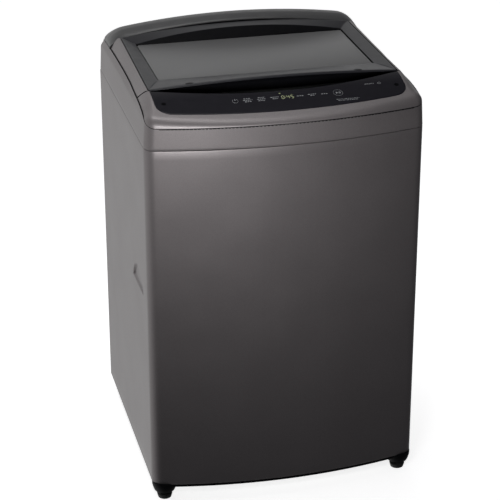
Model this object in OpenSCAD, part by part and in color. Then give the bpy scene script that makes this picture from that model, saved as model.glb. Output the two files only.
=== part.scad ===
// Top-load washing machine, direct drive, modelled as its separate pieces.
// Millimetres. +X is right as seen from the front, +Y is the back, +Z is up.
// The origin is on the floor, under the middle of the overall box.

/* [Cabinet] */
// Width over the side walls
cabinet_w = 632; // [620:1:650]
// Depth of the steel wrap, front bow to back panel
wrap_d = 605; // [600:1:620]
// How far the drain spigot stands out behind the wrap
rear_out = 65; // [60:1:80]
// How far the front wall bows forward of its corners
front_bow = 40; // [30:1:50]
// Radius of the two front corners
corner_r = 28; // [22:1:34]
// Height of the wrap's lower edge above the floor
cabinet_z = 44; // [42:1:48]
// Height of the steel wrap
cabinet_h = 833; // [825:1:840]
// Thickness of the sheet steel
sheet_t = 1.2; // [0.8:0.1:1.6]

/* [Top] */
// Height of the skirt at the sides, above the wrap
skirt_h = 97; // [95:1:99]
// Height of the front crease, above the wrap
crease_h = 50; // [48:1:52]
// Highest point of the rear cover, above the wrap
ridge_h = 141; // [138:1:143]
// Crown of the lid, middle above its ends
lid_crown = 17; // [14:1:18]
// Half the width of the dark lid frame
lid_hw = 287; // [285:1:288]

/* [Drum] */
// Outer radius of the outer tub
tub_r = 268; // [260:1:269]
// Outer radius of the spin basket
basket_r = 248; // [240:1:249]
// Height of the tub's floor above the floor
tub_z = 170; // [168:1:172]
// Height of the tub's wall
tub_h = 630; // [620:1:632]

/* [Motion] */
// Opening angle of the lid, for viewing the open machine
lid_open = 0; // [0:1:80]

/* [Hidden] */
$fn = 64;
hw = cabinet_w / 2;
y_front = -(wrap_d + rear_out) / 2;
y_back = y_front + wrap_d;
bow_r = (hw * hw + front_bow * front_bow) / (2 * front_bow);
seam_z = cabinet_z + cabinet_h;
big = 1200;
fine = 256;
eps = 0.01;

// Tub and drive axis
ax_y = y_front + wrap_d / 2;

// Hanging points of the four suspension rods
rod_x = 250;
rod_dy = 214.5;
rod_r = 4;
rod_spots = [for (sx = [-1, 1], sy = [-1, 1]) [sx * rod_x, ax_y + sy * rod_dy]];

// Levelling feet
foot_x = 286;
foot_front_y = y_front + 58;
foot_back_y = y_back - 42;
stud_r = 5;
stud_bore_r = 5.06;

// Deck under the lid, and the loading well
deck_z = 925;
deck_t = 3;
well_hw = 232;
well_y0 = -172;
well_y1 = 128;
well_r = 70;
well_t = 3;
well_low_z = 836;
well_top_z = 944;

// Lid
lid_low_z = 947;
lid_front_y = y_front + 145;
lid_back_y = 187;
lid_tilt = atan2(8, lid_back_y - lid_front_y);
lid_skin = 3.5;
lid_wall = 4;
lid_r = (lid_hw * lid_hw + lid_crown * lid_crown) / (2 * lid_crown);
lid_mid_front_z = seam_z + 112;
lid_mid_back_z = seam_z + 120;
win_hw = 250;
win_y0 = -118;
win_y1 = 145;
glass_z = 966.5;
glass_t = 4;
hinge_y = 151.5;
hinge_z = 967;
pin_r = 4;
pin_bore_r = 4.06;
trim_x0 = 288;
trim_x1 = 313;
trim_front_y = y_front + 148;
trim_run = 36 / 25;

// Console in front of the lid
con_front = [y_front + 33, seam_z + 67];
con_back = [y_front + 103, seam_z + 88];
con_end = y_front + 175;
con_skin = 3;
crescent_r = 1008.5;
crescent_y = y_front + 103;
panel_t = 2;
panel_hw = 284;
panel_y = y_front + 33;
panel_bow_r = 1648;
panel_corner_r = 35;

// Rear cover
rear_y0 = 190;
rear_low = 70;
ridge_y = 217;
rear_r = 1700;
rear_skin = 3;
rear_end_r = 45;

// Detergent drawer
drawer_x0 = -155;
drawer_x1 = -25;
drawer_z0 = 874;
drawer_z1 = 914;
drawer_l = 108;

// Drive
shaft_r = 8;
shaft_bore_r = 8.05;
spin_r = 15;
spin_bore_r = 15.05;

// ---------- shared shapes ----------

// Plan outline with a bowed front, two round front corners and a straight back
module bowed(half, yf, r, rc, yb) {
    cy = yf + r - sqrt(pow(r - rc, 2) - pow(half - rc, 2));
    tx = (half - rc) * r / (r - rc);
    ty = yf + r + (cy - yf - r) * r / (r - rc);
    union() {
        intersection() {
            translate([0, yf + r]) circle(r = r, $fn = fine);
            polygon([
                [-half, yb], [-half, cy], [-tx, ty], [-tx, yf - 50],
                [tx, yf - 50], [tx, ty], [half, cy], [half, yb]
            ]);
        }
        for (s = [-1, 1]) translate([s * (half - rc), cy]) circle(r = rc);
    }
}

// Outline of the cabinet, moved inwards by d
module wrap_plan(d = 0, back = 0) {
    bowed(hw - d, y_front + d, bow_r - d, max(corner_r - d, 3), y_back - back);
}

// Ring between the outline moved in by a and by b
module wrap_ring(a, b, z, h, back = 0) {
    translate([0, 0, z]) linear_extrude(h) difference() {
        wrap_plan(a, back);
        translate([0, -eps]) wrap_plan(b, back + b - a);
    }
}

// Box from its low corner to its high corner
module block(lo, hi) {
    translate(lo) cube([hi[0] - lo[0], hi[1] - lo[1], hi[2] - lo[2]]);
}

// Body with a crowned top whose highest line runs through p and q, both [y, z]
module crown_body(p, q, r) {
    slope = atan2(q[1] - p[1], q[0] - p[0]);
    translate([0, p[0], p[1]]) rotate([slope, 0, 0]) translate([0, 0, -r])
        rotate([90, 0, 0]) cylinder(r = r, h = 2 * big, center = true, $fn = fine);
}

// Profile in Y and Z, drawn out along X
module along_x(points, x0, x1) {
    translate([x0, 0, 0]) rotate([90, 0, 90]) linear_extrude(x1 - x0) polygon(points);
}

// Rectangle with round corners
module round_rect(x0, y0, x1, y1, r) {
    union() {
        translate([x0 + r, y0]) square([x1 - x0 - 2 * r, y1 - y0]);
        translate([x0, y0 + r]) square([x1 - x0, y1 - y0 - 2 * r]);
        for (x = [x0 + r, x1 - r], y = [y0 + r, y1 - r]) translate([x, y]) circle(r = r);
    }
}

// Tube about the drum's axis
module drum_ring(ri, ro, z0, z1) {
    translate([0, ax_y, z0]) difference() {
        cylinder(r = ro, h = z1 - z0, $fn = 128);
        translate([0, 0, -1]) cylinder(r = ri, h = z1 - z0 + 2, $fn = 128);
    }
}

module mirror_x() {
    children();
    mirror([1, 0, 0]) children();
}

// ---------- cabinet ----------

grip_y = -185;
grip_hl = 76;
grip_z = seam_z - 379;
grip_h = 52;

// Half-moon outline of a hand grip, drawn in Y and Z
module grip_outline(d = 0) {
    arch_r = ((grip_hl - 12) * (grip_hl - 12) + grip_h * grip_h) / (2 * grip_h) + 14;
    intersection() {
        translate([0, grip_h - arch_r]) circle(r = arch_r - d, $fn = 128);
        round_rect(-grip_hl + d, d, grip_hl - d, grip_h + 40, 10);
    }
}

module cabinet_shell() {
    color("#4a4544") difference() {
        union() {
            wrap_ring(0, sheet_t, cabinet_z, cabinet_h, -1);
            // folded flanges that the back panel screws to
            mirror_x() block([hw - 22, y_back - sheet_t, cabinet_z], [hw - sheet_t, y_back, seam_z]);
        }
        block([-big, y_back, 0], [big, y_back + 10, big]);
        block([-hw + 22, y_back - 10, 0], [hw - 22, y_back + 10, big]);
        mirror_x() translate([hw - 10, grip_y, grip_z]) rotate([90, 0, 90])
            linear_extrude(20) grip_outline();
    }
}

module hand_grips() {
    color("#242322") mirror_x() translate([hw - 26, grip_y, grip_z]) rotate([90, 0, 90])
        difference() {
            linear_extrude(26 - sheet_t - 0.1) difference() {
                translate([-grip_hl - 8, -8]) square([2 * grip_hl + 16, grip_h + 16]);
            }
            translate([0, 0, 3]) linear_extrude(40) grip_outline(0.5);
        }
}

module rear_panel() {
    color("#8b8c8c") difference() {
        union() {
            block([-hw + 3, y_back, cabinet_z + 6], [hw - 3, y_back + sheet_t, seam_z]);
            // drawn bulge that stiffens the sheet
            block([-250, y_back, 300], [250, y_back + 12, 760]);
            mirror_x() block([205, y_back, 780], [225, y_back + 4, 860]);
        }
        block([-250 + sheet_t, y_back - 1, 300 + sheet_t],
              [250 - sheet_t, y_back + 12 - sheet_t, 760 - sheet_t]);
        // service opening
        block([-140, y_back - 1, 400], [140, y_back + 20, 620]);
        // way out for the drain and the mains lead
        translate([230, y_back - 5, 120]) rotate([-90, 0, 0]) cylinder(r = 18, h = 20);
        translate([-250, y_back - 5, 180]) rotate([-90, 0, 0]) cylinder(r = 9, h = 20);
        for (x = [-hw + 12, hw - 12], z = [90, 300, 520, 740, 850])
            translate([x, y_back - 5, z]) rotate([-90, 0, 0]) cylinder(r = 2.2, h = 20);
    }
}

module rear_service_cover() {
    color("#7d7e7e") difference() {
        block([-155, y_back + 12, 385], [155, y_back + 13.2, 635]);
        for (z = [420:20:600]) block([-90, y_back, z], [90, y_back + 20, z + 5]);
    }
}

module rear_screws() {
    color("#b5b5b5") {
        for (x = [-hw + 12, hw - 12], z = [90, 300, 520, 740, 850])
            translate([x, y_back + sheet_t, z]) rotate([-90, 0, 0]) {
                cylinder(r = 4.5, h = 2.4, $fn = 32);
                translate([0, 0, -sheet_t + eps]) cylinder(r = 2.1, h = 2, $fn = 32);
            }
        for (x = [-148, 148], z = [395, 625])
            translate([x, y_back + 13.2, z]) rotate([-90, 0, 0]) cylinder(r = 4.5, h = 2.4, $fn = 32);
    }
}

// ---------- base and feet ----------

foot_spots = [for (x = [-foot_x, foot_x], y = [foot_front_y, foot_back_y]) [x, y]];

module base_frame() {
    color("#1b1b1c") difference() {
        union() {
            // strip that shows under the steel, set back from it
            wrap_ring(7, 34, 34, 12 - eps, 2);
            wrap_ring(sheet_t + 0.8, 34, cabinet_z, 26, 2);
            // rails that the side walls are fixed to
            mirror_x() block([hw - sheet_t - 2, -200, cabinet_z], [hw - sheet_t, 200, cabinet_z + 26]);
            for (p = foot_spots) intersection() {
                block([p[0] - 48, p[1] - 46, 40], [p[0] + 48, p[1] + 46, 52]);
                linear_extrude(100) wrap_plan(7, 7);
            }
            for (p = foot_spots) translate([p[0], p[1], 30]) cylinder(r = 20, h = 36);
        }
        for (p = foot_spots) translate([p[0], p[1], 0]) cylinder(r = stud_bore_r, h = 200);
    }
}

// Levelling foot: rubber-soled pad, hexagon and threaded stud
module foot(p) {
    translate([p[0], p[1], 0]) {
        cylinder(r1 = 15.5, r2 = 18, h = 9);
        translate([0, 0, 9]) cylinder(r1 = 18, r2 = 11, h = 5);
        translate([0, 0, 14]) cylinder(r = 10, h = 7, $fn = 6);
        translate([0, 0, 20]) cylinder(r = stud_r, h = 62);
    }
}

module front_left_foot() { color("#151515") foot([-foot_x, foot_front_y]); }
module front_right_foot() { color("#151515") foot([foot_x, foot_front_y]); }
module rear_feet() { color("#151515") mirror_x() foot([foot_x, foot_back_y]); }

module foot_lock_nuts() {
    color("#9a9a9a") for (p = foot_spots) translate([p[0], p[1], 23]) difference() {
        cylinder(r = 9.8, h = 7, $fn = 6);
        translate([0, 0, -1]) cylinder(r = stud_bore_r, h = 10);
    }
}

// ---------- suspension ----------

rod_top_z = 862;
rod_low_z = 172;
cap_z = 330;
spring_low_z = 182;

module corner_brackets() {
    color("#8d8f91") for (p = rod_spots) {
        sx = sign(p[0]);
        x0 = sx > 0 ? 222 : -hw;
        difference() {
            intersection() {
                union() {
                    block([x0, p[1] - 32, 848], [x0 + hw - 222, p[1] + 32, 851]);
                    block([sx > 0 ? hw - 6 : -hw, p[1] - 32, 800], [sx > 0 ? hw : -hw + 6, p[1] + 32, 851]);
                }
                linear_extrude(big) wrap_plan(sheet_t + 0.3, sheet_t + 0.3);
            }
            translate([p[0], p[1], 800]) cylinder(r = 7, h = 100);
        }
    }
}

module suspension_rods() {
    color("#a9abad") for (p = rod_spots) translate([p[0], p[1], 0]) {
        translate([0, 0, rod_low_z]) cylinder(r = rod_r, h = rod_top_z - rod_low_z);
        translate([0, 0, 851]) cylinder(r1 = 9, r2 = 14, h = 7);
        translate([0, 0, spring_low_z - 5]) cylinder(r = 19, h = 5);
    }
}

module suspension_springs() {
    turns = 9;
    wire = 3;
    coil_r = 14;
    // each turn is a ring of its own, at the height where that turn of the wire lies
    color("#b9bbbd") for (p = rod_spots) translate([p[0], p[1], spring_low_z])
        for (i = [0:turns - 1])
            translate([0, 0, wire + 0.2 + i * (cap_z - spring_low_z - 2 * wire - 0.4) / (turns - 1)])
                rotate_extrude() translate([coil_r, 0]) circle(r = wire, $fn = 24);
}

module suspension_caps() {
    color("#e4e2dc") for (p = rod_spots) translate([p[0], p[1], cap_z]) difference() {
        union() {
            cylinder(r = 20, h = 8);
            cylinder(r = 15, h = 46);
        }
        translate([0, 0, -1]) cylinder(r = rod_r + 0.6, h = 60);
    }
}

// ---------- top cover ----------

// Side profile of the skirt's upper edge
skirt_edge = [
    [y_front - 5, seam_z + crease_h], [y_front + 35, seam_z + crease_h + 3],
    [y_front + 44, seam_z + crease_h + 10], [y_front + 58, seam_z + 65],
    [y_front + 92, seam_z + 80], [y_front + 127, seam_z + skirt_h - 3],
    [y_front + 153, seam_z + skirt_h], [y_front + 300, seam_z + skirt_h + 2],
    [y_back - 162, seam_z + skirt_h + 1], [y_back - 80, seam_z + skirt_h - 5],
    [y_back + 5, seam_z + 74]
];

module under_skirt_edge() {
    along_x(concat([[y_front - 5, 0]], skirt_edge, [[y_back + 5, 0]]), -hw - 1, hw + 1);
}

module well_plan(d = 0) {
    round_rect(-well_hw - d, well_y0 - d, well_hw + d, well_y1 + d, well_r + d);
}

// Plan of everything behind the console's hollow rear edge, moved back by d
module behind_crescent(d) {
    translate([0, crescent_y + crescent_r]) union() {
        circle(r = crescent_r - d, $fn = fine);
        translate([-big, 0]) square([2 * big, big]);
    }
}

module top_cover() {
    color("#4c4746") difference() {
        union() {
            intersection() {
                wrap_ring(0, 2.6, seam_z, 100);
                under_skirt_edge();
            }
            // deck
            translate([0, 0, deck_z - deck_t]) linear_extrude(deck_t) intersection() {
                wrap_plan(2.5, 2.5);
                behind_crescent(0.5);
            }
            // step that the console rests on
            translate([0, 0, seam_z + 36]) linear_extrude(3) intersection() {
                difference() {
                    wrap_plan(2.5, 2.5);
                    wrap_plan(22, 22);
                }
                translate([-big, y_front - 10]) square([2 * big, 130]);
            }
        }
        translate([0, 0, deck_z - 10]) linear_extrude(20) well_plan(well_t);
        // slot for the lock striker
        block([246, -180, deck_z - 10], [266, -150, deck_z + 10]);
        // openings for the inlet valves
        for (x = [150, 215]) translate([x, y_back - 10, 899]) rotate([-90, 0, 0]) cylinder(r = 16, h = 20);
    }
}

module loading_rim() {
    color("#c9c9c7") difference() {
        union() {
            translate([0, 0, well_low_z]) linear_extrude(well_top_z - well_low_z) difference() {
                well_plan(well_t);
                well_plan(0);
            }
            translate([0, 0, well_low_z]) linear_extrude(3) difference() {
                well_plan(well_t);
                well_plan(-14);
            }
        }
        block([drawer_x0 - 1.5, well_y1 - 5, drawer_z0 - 1.5], [drawer_x1 + 1.5, well_y1 + 5, drawer_z1 + 1.5]);
    }
}

// Ends of the lid trims, which the console leaves free
module trim_corner(gap) {
    mirror_x() translate([0, 0, 900]) linear_extrude(120) polygon([
        [trim_x0 - 2, trim_front_y - gap], [trim_x0, trim_front_y - gap],
        [hw + 5, trim_front_y - gap - (hw + 5 - trim_x0) * trim_run], [hw + 5, 100], [trim_x0 - 2, 100]
    ]);
}

// Everything under the console's top, lowered by d: rolled front edge, then the slope
module under_console_top(d) {
    rise = (con_back[1] - con_front[1]) / (con_back[0] - con_front[0]);
    along_x([
        [y_front - 5, 800], [y_front - 5, seam_z + 47 - d], [y_front, seam_z + 51 - d],
        [y_front + 10, seam_z + 60 - d], [con_front[0], con_front[1] - d],
        [con_end, con_front[1] + (con_end - con_front[0]) * rise - d], [con_end, 800]
    ], -hw - 1, hw + 1);
}

module console_body(d) {
    intersection() {
        translate([0, 0, seam_z + crease_h - 11]) linear_extrude(90) difference() {
            wrap_plan(d, d);
            translate([0, crescent_y + crescent_r - d]) circle(r = crescent_r, $fn = fine);
        }
        under_console_top(d);
    }
}

module above_skirt_edge(gap) {
    translate([0, 0, gap])
        along_x(concat(skirt_edge, [[y_back + 5, seam_z + 200], [y_front - 5, seam_z + 200]]), -hw - 1, hw + 1);
}

module panel_plan() {
    difference() {
        bowed(panel_hw, panel_y, panel_bow_r, panel_corner_r, 0);
        translate([0, crescent_y + crescent_r - 3]) circle(r = crescent_r, $fn = fine);
    }
}

module control_housing() {
    color("#524c4b") difference() {
        union() {
            intersection() {
                console_body(0);
                above_skirt_edge(0.6);
            }
            console_body(2.8);
        }
        console_body(2.8 + con_skin);
        trim_corner(2.5);
        // seat of the touch panel
        difference() {
            translate([0, 0, 900]) linear_extrude(100) panel_plan();
            under_console_top(panel_t);
        }
    }
}

module touch_panel() {
    color("#232326") difference() {
        intersection() {
            translate([0, 0, 900]) linear_extrude(100) panel_plan();
            under_console_top(0);
        }
        under_console_top(panel_t);
        for (s = [-1, 1]) translate([s * 263, y_front + 91, 900]) cylinder(r = 5.1, h = 100);
    }
}

con_slope = atan2(con_back[1] - con_front[1], con_back[0] - con_front[0]);

// Places a child on the console's sloping middle line, depth below its surface
module on_console(x, depth) {
    translate([x, con_front[0] + 38, con_front[1] + 38 * tan(con_slope) - depth])
        rotate([con_slope, 0, 0]) children();
}

module display_module() {
    color("#dfe8a0") on_console(12, 14.5) difference() {
        translate([-40, -13, 0]) cube([80, 26, 8]);
        for (i = [-1:1]) translate([i * 22 - 8, -9, 6]) cube([16, 18, 5]);
    }
}

module panel_plugs() {
    color("#101010") difference() {
        intersection() {
            for (x = [-263, 263]) translate([x, y_front + 91, 900]) cylinder(r = 5, h = 100);
            translate([0, 0, 0.4]) under_console_top(0);
        }
        under_console_top(panel_t);
    }
}

module control_board() {
    color("#2f6a3c") {
        on_console(0, 25) translate([-120, -24, 0]) cube([240, 48, 2]);
        on_console(0, 23) for (i = [-3:3]) translate([i * 32 - 6, -19, 0]) cube([12, 10, 5]);
    }
}

module handle_recess() {
    back = well_y0 - well_t - 1;
    color("#0e0e10") {
        translate([0, 0, seam_z + 59]) linear_extrude(3) intersection() {
            translate([-283, crescent_y - 3]) square([566, back - crescent_y + 3]);
            behind_crescent(0.5);
        }
        block([-283, back - 3, deck_z], [283, back, seam_z + 59 + eps]);
    }
}

module rear_outer(d) {
    intersection() {
        translate([0, 0, seam_z + rear_low]) linear_extrude(100) intersection() {
            wrap_plan(d, d);
            translate([-big, rear_y0]) square([2 * big, big]);
        }
        translate([0, 0, -d]) crown_body([rear_y0, seam_z + 121], [ridge_y, seam_z + ridge_h], rear_r);
        translate([0, 0, -d]) crown_body([ridge_y, seam_z + ridge_h], [y_back, seam_z + 122], rear_r);
        rotate([90, 0, 0]) translate([0, 0, -big]) linear_extrude(2 * big) union() {
            translate([-hw + d, 0]) square([2 * hw - 2 * d, seam_z + 74]);
            translate([-hw + rear_end_r, 0]) square([2 * hw - 2 * rear_end_r, big]);
            for (s = [-1, 1]) translate([s * (hw - rear_end_r), seam_z + 74]) circle(r = rear_end_r - d);
        }
    }
}

module rear_cover() {
    color("#3d3c3c") difference() {
        intersection() {
            rear_outer(0);
            above_skirt_edge(0.6);
        }
        difference() {
            translate([0, 0, -eps]) rear_outer(rear_skin);
            block([-big, ridge_y - 11, 0], [big, ridge_y - 8, big]);
        }
        // undercut that the opening lid's rear edge dips into
        block([-trim_x1, rear_y0 - 1, 0], [trim_x1, ridge_y - 11, seam_z + skirt_h]);
    }
}

// ---------- hinge, lock and services ----------

module hinge_brackets() {
    color("#2a2a2b") mirror_x() difference() {
        union() {
            block([296, hinge_y - 11, deck_z], [304, hinge_y + 5, hinge_z]);
            translate([296, hinge_y, hinge_z]) rotate([0, 90, 0]) cylinder(r = 5, h = 8);
            block([290, hinge_y - 11, deck_z], [310, hinge_y + 5, deck_z + 4]);
        }
        translate([280, hinge_y, hinge_z]) rotate([0, 90, 0]) cylinder(r = pin_bore_r, h = 40);
    }
}

module lid_damper() {
    color("#6f7275") mirror_x() difference() {
        block([305, hinge_y - 9, 945], [310, hinge_y + 4.6, 969]);
        translate([300, hinge_y, hinge_z]) rotate([0, 90, 0]) cylinder(r = pin_r + 0.6, h = 20);
    }
}

lock_x = 256;
lock_y = -165;

module lid_lock() {
    color("#e9e9e6") difference() {
        block([lock_x - 22, lock_y - 20, 886], [lock_x + 42, lock_y + 20, deck_z - deck_t]);
        block([lock_x - 10, lock_y - 15, 896], [lock_x + 10, lock_y + 15, deck_z]);
        block([lock_x + 9, lock_y - 7.3, 900.7], [lock_x + 36.5, lock_y + 7.3, 911.3]);
    }
}

module lock_bolt() {
    color("#c8452f") block([lock_x + 12, lock_y - 7, 901], [lock_x + 27, lock_y + 7, 911]);
}

// Inlet valve with its threaded spigot towards the back
module inlet_valve(x) {
    translate([x, y_back, 899]) rotate([-90, 0, 0]) {
        cylinder(r = 13.2, h = 30);
        translate([0, 0, -3]) cylinder(r = 15.7, h = 6);
        translate([0, 0, -34]) cylinder(r = 14, h = 32);
    }
    block([x - 13, y_back - 34, 880], [x + 13, y_back - 10, 892]);
    translate([x, y_back - 22, 880]) cylinder(r = 7, h = 4);
}

module cold_inlet_valve() { color("#2b6cb0") inlet_valve(215); }
module hot_inlet_valve() { color("#b03a2b") inlet_valve(150); }

module water_level_sensor() {
    color("#d8d8d2") translate([-215, y_back - 34, 878]) {
        cylinder(r = 24, h = 14);
        translate([0, 0, 14]) cylinder(r = 15, h = 12);
        translate([-31, -6, 4]) cube([10, 12, 6]);
    }
}

module drawer_housing() {
    t = 2.4;
    color("#dcdcda") difference() {
        block([drawer_x0 - 1.2 - t, well_y1 + well_t + 0.2, drawer_z0 - 1.2 - t],
              [drawer_x1 + 1.2 + t, well_y1 + drawer_l + 12, drawer_z1 + 1.2 + t]);
        block([drawer_x0 - 1.2, well_y1 - 5, drawer_z0 - 1.2],
              [drawer_x1 + 1.2, well_y1 + drawer_l + 12 - t, drawer_z1 + 1.2]);
        // slot that lets the drawer's contents fall to the tub
        block([drawer_x0 + 20, well_y1 + 60, drawer_z0 - 10], [drawer_x1 - 20, well_y1 + 90, drawer_z0 + 5]);
    }
}

module detergent_drawer() {
    t = 2.2;
    mid = (drawer_x0 + drawer_x1) / 2;
    color("#eeeeec") difference() {
        block([drawer_x0, well_y1 + 0.4, drawer_z0], [drawer_x1, well_y1 + drawer_l, drawer_z1]);
        block([drawer_x0 + t, well_y1 + 4, drawer_z0 + t], [mid - t / 2, well_y1 + drawer_l - t, drawer_z1 + 5]);
        block([mid + t / 2, well_y1 + 4, drawer_z0 + t], [drawer_x1 - t, well_y1 + drawer_l - t, drawer_z1 + 5]);
        // finger slot in the drawer's front
        block([mid - 28, well_y1 - 1, drawer_z1 - 12], [mid + 28, well_y1 + 3, drawer_z1 - 4]);
    }
}

module power_cord_gland() {
    color("#1a1a1a") translate([-250, y_back, 180]) rotate([-90, 0, 0]) difference() {
        union() {
            translate([0, 0, -6]) cylinder(r = 8.9, h = 10);
            translate([0, 0, sheet_t]) cylinder(r = 14, h = 3);
            translate([0, 0, sheet_t]) cylinder(r1 = 9, r2 = 7, h = 18);
        }
        translate([0, 0, -10]) cylinder(r = 4, h = 50);
    }
}

pump_x = 205;
pump_y = 175;

module drain_pump() {
    color("#d9d9d4") difference() {
        union() {
            translate([pump_x, pump_y, 56]) cylinder(r = 44, h = 40);
            translate([pump_x, pump_y, 96]) cylinder(r = 17, h = 12);
            block([pump_x - 8, pump_y, 60], [hw - 34, pump_y + 18, 66]);
        }
        translate([pump_x, pump_y, 60]) cylinder(r = 36, h = 32);
        translate([pump_x, pump_y, 80]) cylinder(r = 13, h = 40);
        translate([pump_x, pump_y, 82]) rotate([-90, 0, -25]) cylinder(r = 10, h = 60);
    }
}

module drain_outlet() {
    color("#333435") translate([230, y_back - 20, 120]) rotate([-90, 0, 0]) difference() {
        union() {
            cylinder(r = 16, h = rear_out + 20);
            translate([0, 0, 20 + sheet_t]) cylinder(r = 24, h = 4);
        }
        translate([0, 0, -1]) cylinder(r = 12.5, h = rear_out + 30);
    }
}

module drain_bellows() {
    folds = 5;
    h = tub_z - 22 - 108;
    pitch = h / folds;
    color("#2c2c2d") translate([pump_x, pump_y, 108]) rotate_extrude() polygon(concat(
        [for (i = [0:folds - 1]) each [[16, i * pitch], [22, (i + 0.5) * pitch]]],
        [[16, h], [12.5, h]],
        [for (i = [folds - 1:-1:0]) each [[18.5, (i + 0.5) * pitch], [12.5, i * pitch]]]
    ));
}

// ---------- tub ----------

module outer_tub() {
    color("#e6e6e2") difference() {
        union() {
            drum_ring(tub_r - 3, tub_r, tub_z, tub_z + tub_h);
            drum_ring(40, tub_r - 2, tub_z, tub_z + 4);
            for (z = [300, 480, 660]) drum_ring(tub_r - 1, tub_r + 3, z, z + 4);
            // arms that hang on the suspension caps
            for (p = rod_spots) {
                a = atan2(p[1] - ax_y, p[0]);
                translate([0, ax_y, cap_z + 8]) rotate([0, 0, a]) block([tub_r - 2, -22, 0], [rod_arm + 20, 22, 26]);
            }
        }
        for (p = rod_spots) translate([p[0], p[1], 0]) cylinder(r = 15.2, h = big);
        drum_ring(0.1, tub_r - 3, tub_z + 4, big);
        translate([pump_x, pump_y, tub_z - 5]) cylinder(r = 14, h = 20);
    }
}

rod_arm = norm([rod_x, rod_dy]);

module tub_cover_ring() {
    color("#efefec") {
        drum_ring(226, tub_r + 4, tub_z + tub_h, tub_z + tub_h + 4);
        drum_ring(226, 229, tub_z + tub_h + 4, tub_z + tub_h + 16);
        drum_ring(tub_r + 0.4, tub_r + 4, tub_z + tub_h - 14, tub_z + tub_h);
    }
}

module tub_drain_port() {
    color("#2f3031") translate([pump_x, pump_y, tub_z]) difference() {
        union() {
            translate([0, 0, -22]) cylinder(r = 18, h = 18);
            translate([0, 0, -5]) cylinder(r = 26, h = 5);
        }
        translate([0, 0, -30]) cylinder(r = 13, h = 60);
    }
}

module bearing_housing() {
    color("#9fa2a4") {
        difference() {
            union() {
                drum_ring(30, 160, tub_z - 6, tub_z);
                drum_ring(30, 39.5, tub_z - 40, tub_z + 4);
                drum_ring(19, 38, tub_z - 44, tub_z - 40);
            }
            for (i = [0:5]) translate([0, ax_y, 0]) rotate([0, 0, i * 60 + 30])
                translate([105, 0, 100]) cylinder(r = 20, h = 100);
        }
    }
}

module drum_bearings() {
    color("#c4c6c8") {
        drum_ring(spin_bore_r, 30, tub_z - 39.9, tub_z - 25);
        drum_ring(spin_bore_r, 30, tub_z - 16, tub_z - 1);
    }
}

module shaft_seal() {
    color("#1d1d1d") {
        drum_ring(spin_bore_r, 30, tub_z - 1, tub_z + 6);
    }
}

module stator() {
    poles = 36;
    color("#a3552f") {
        drum_ring(62, 84, 136, 156);
        translate([0, ax_y, 0]) for (i = [0:poles - 1]) rotate([0, 0, i * 360 / poles])
            block([83, -3.6, 138], [116, 3.6, 154]);
    }
}

module clutch_sleeve() {
    color("#b7a27a") drum_ring(spin_bore_r, 26, 114, 119);
}

// ---------- basket ----------

basket_low_z = 186;
basket_top_z = 788;

module basket() {
    rows = 7;
    columns = 24;
    color("#c7cacc") difference() {
        union() {
            drum_ring(basket_r - 1, basket_r, basket_low_z, basket_top_z - 30);
            drum_ring(basket_r - 4, basket_r - 1 + eps, basket_top_z - 31, basket_top_z - 30);
        }
        for (r = [0:rows - 1], c = [0:columns - 1])
            translate([0, ax_y, 250 + r * 72]) rotate([0, 90, c * 360 / columns + (r % 2) * 7.5])
                translate([0, 0, basket_r - 10]) cylinder(r = 3, h = 20, $fn = 16);
    }
}

module basket_base() {
    color("#b9bcbe") {
        difference() {
            drum_ring(170, basket_r - 1.1, basket_low_z, basket_low_z + 4);
            for (i = [0:23]) translate([0, ax_y, 100]) rotate([0, 0, i * 15]) translate([210, 0, 0])
                cylinder(r = 4, h = 200, $fn = 24);
        }
        drum_ring(20, 170.5, basket_low_z, basket_low_z + 3);
    }
}

module basket_hub() {
    color("#8f9294") {
        drum_ring(spin_bore_r, 45, basket_low_z - 8, basket_low_z);
        for (i = [0:2]) translate([0, ax_y, 0]) rotate([0, 0, 120 * i + 90])
            block([40, -16, basket_low_z - 7], [basket_r - 12, 16, basket_low_z]);
    }
}

module balance_ring() {
    color("#d4d6d6") {
        drum_ring(224, 250, basket_top_z - 30 + 0.2, basket_top_z);
    }
}

module lint_filters() {
    color("#dfe0dd") for (i = [0:1]) translate([0, ax_y, 0]) rotate([0, 0, 180 * i])
        difference() {
            block([228, -55, 330], [240.5, 55, 620]);
            block([220, -40, 350], [237, 40, 600]);
        }
}

module spin_shaft() {
    color("#86888b") drum_ring(shaft_bore_r, spin_r, 121, basket_low_z + 3);
}

// ---------- pulsator ----------

pulsator_z = 196;
pulsator_r = 168;

module pulsator() {
    color("#d9dbdb") {
        difference() {
            drum_ring(shaft_bore_r - 0.05, pulsator_r, pulsator_z, pulsator_z + 8);
            for (i = [0:11]) translate([0, ax_y, pulsator_z - 5]) rotate([0, 0, i * 30 + 15])
                translate([120, 0, 0]) cylinder(r = 4, h = 30, $fn = 24);
        }
        drum_ring(shaft_r, 44, pulsator_z + 8, pulsator_z + 24);
        for (i = [0:5]) translate([0, ax_y, pulsator_z + 8]) rotate([0, 0, i * 60])
            along_y_fin();
    }
}

// One paddle of the pulsator, falling from the hub to the rim
module along_y_fin() {
    translate([0, 9, 0]) rotate([90, 0, 0]) linear_extrude(18)
        polygon([[43, 0], [pulsator_r - 4, 0], [pulsator_r - 12, 10], [100, 20], [43, 16]]);
}

module pulsator_cap() {
    color("#c9ccd0") translate([0, ax_y, pulsator_z + 24]) {
        cylinder(r = 34, h = 3);
        translate([0, 0, 3]) cylinder(r1 = 34, r2 = 26, h = 5);
    }
}

module wash_shaft() {
    color("#77797c") translate([0, ax_y, 96]) cylinder(r = shaft_r, h = pulsator_z + 20 - 96);
}

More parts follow.
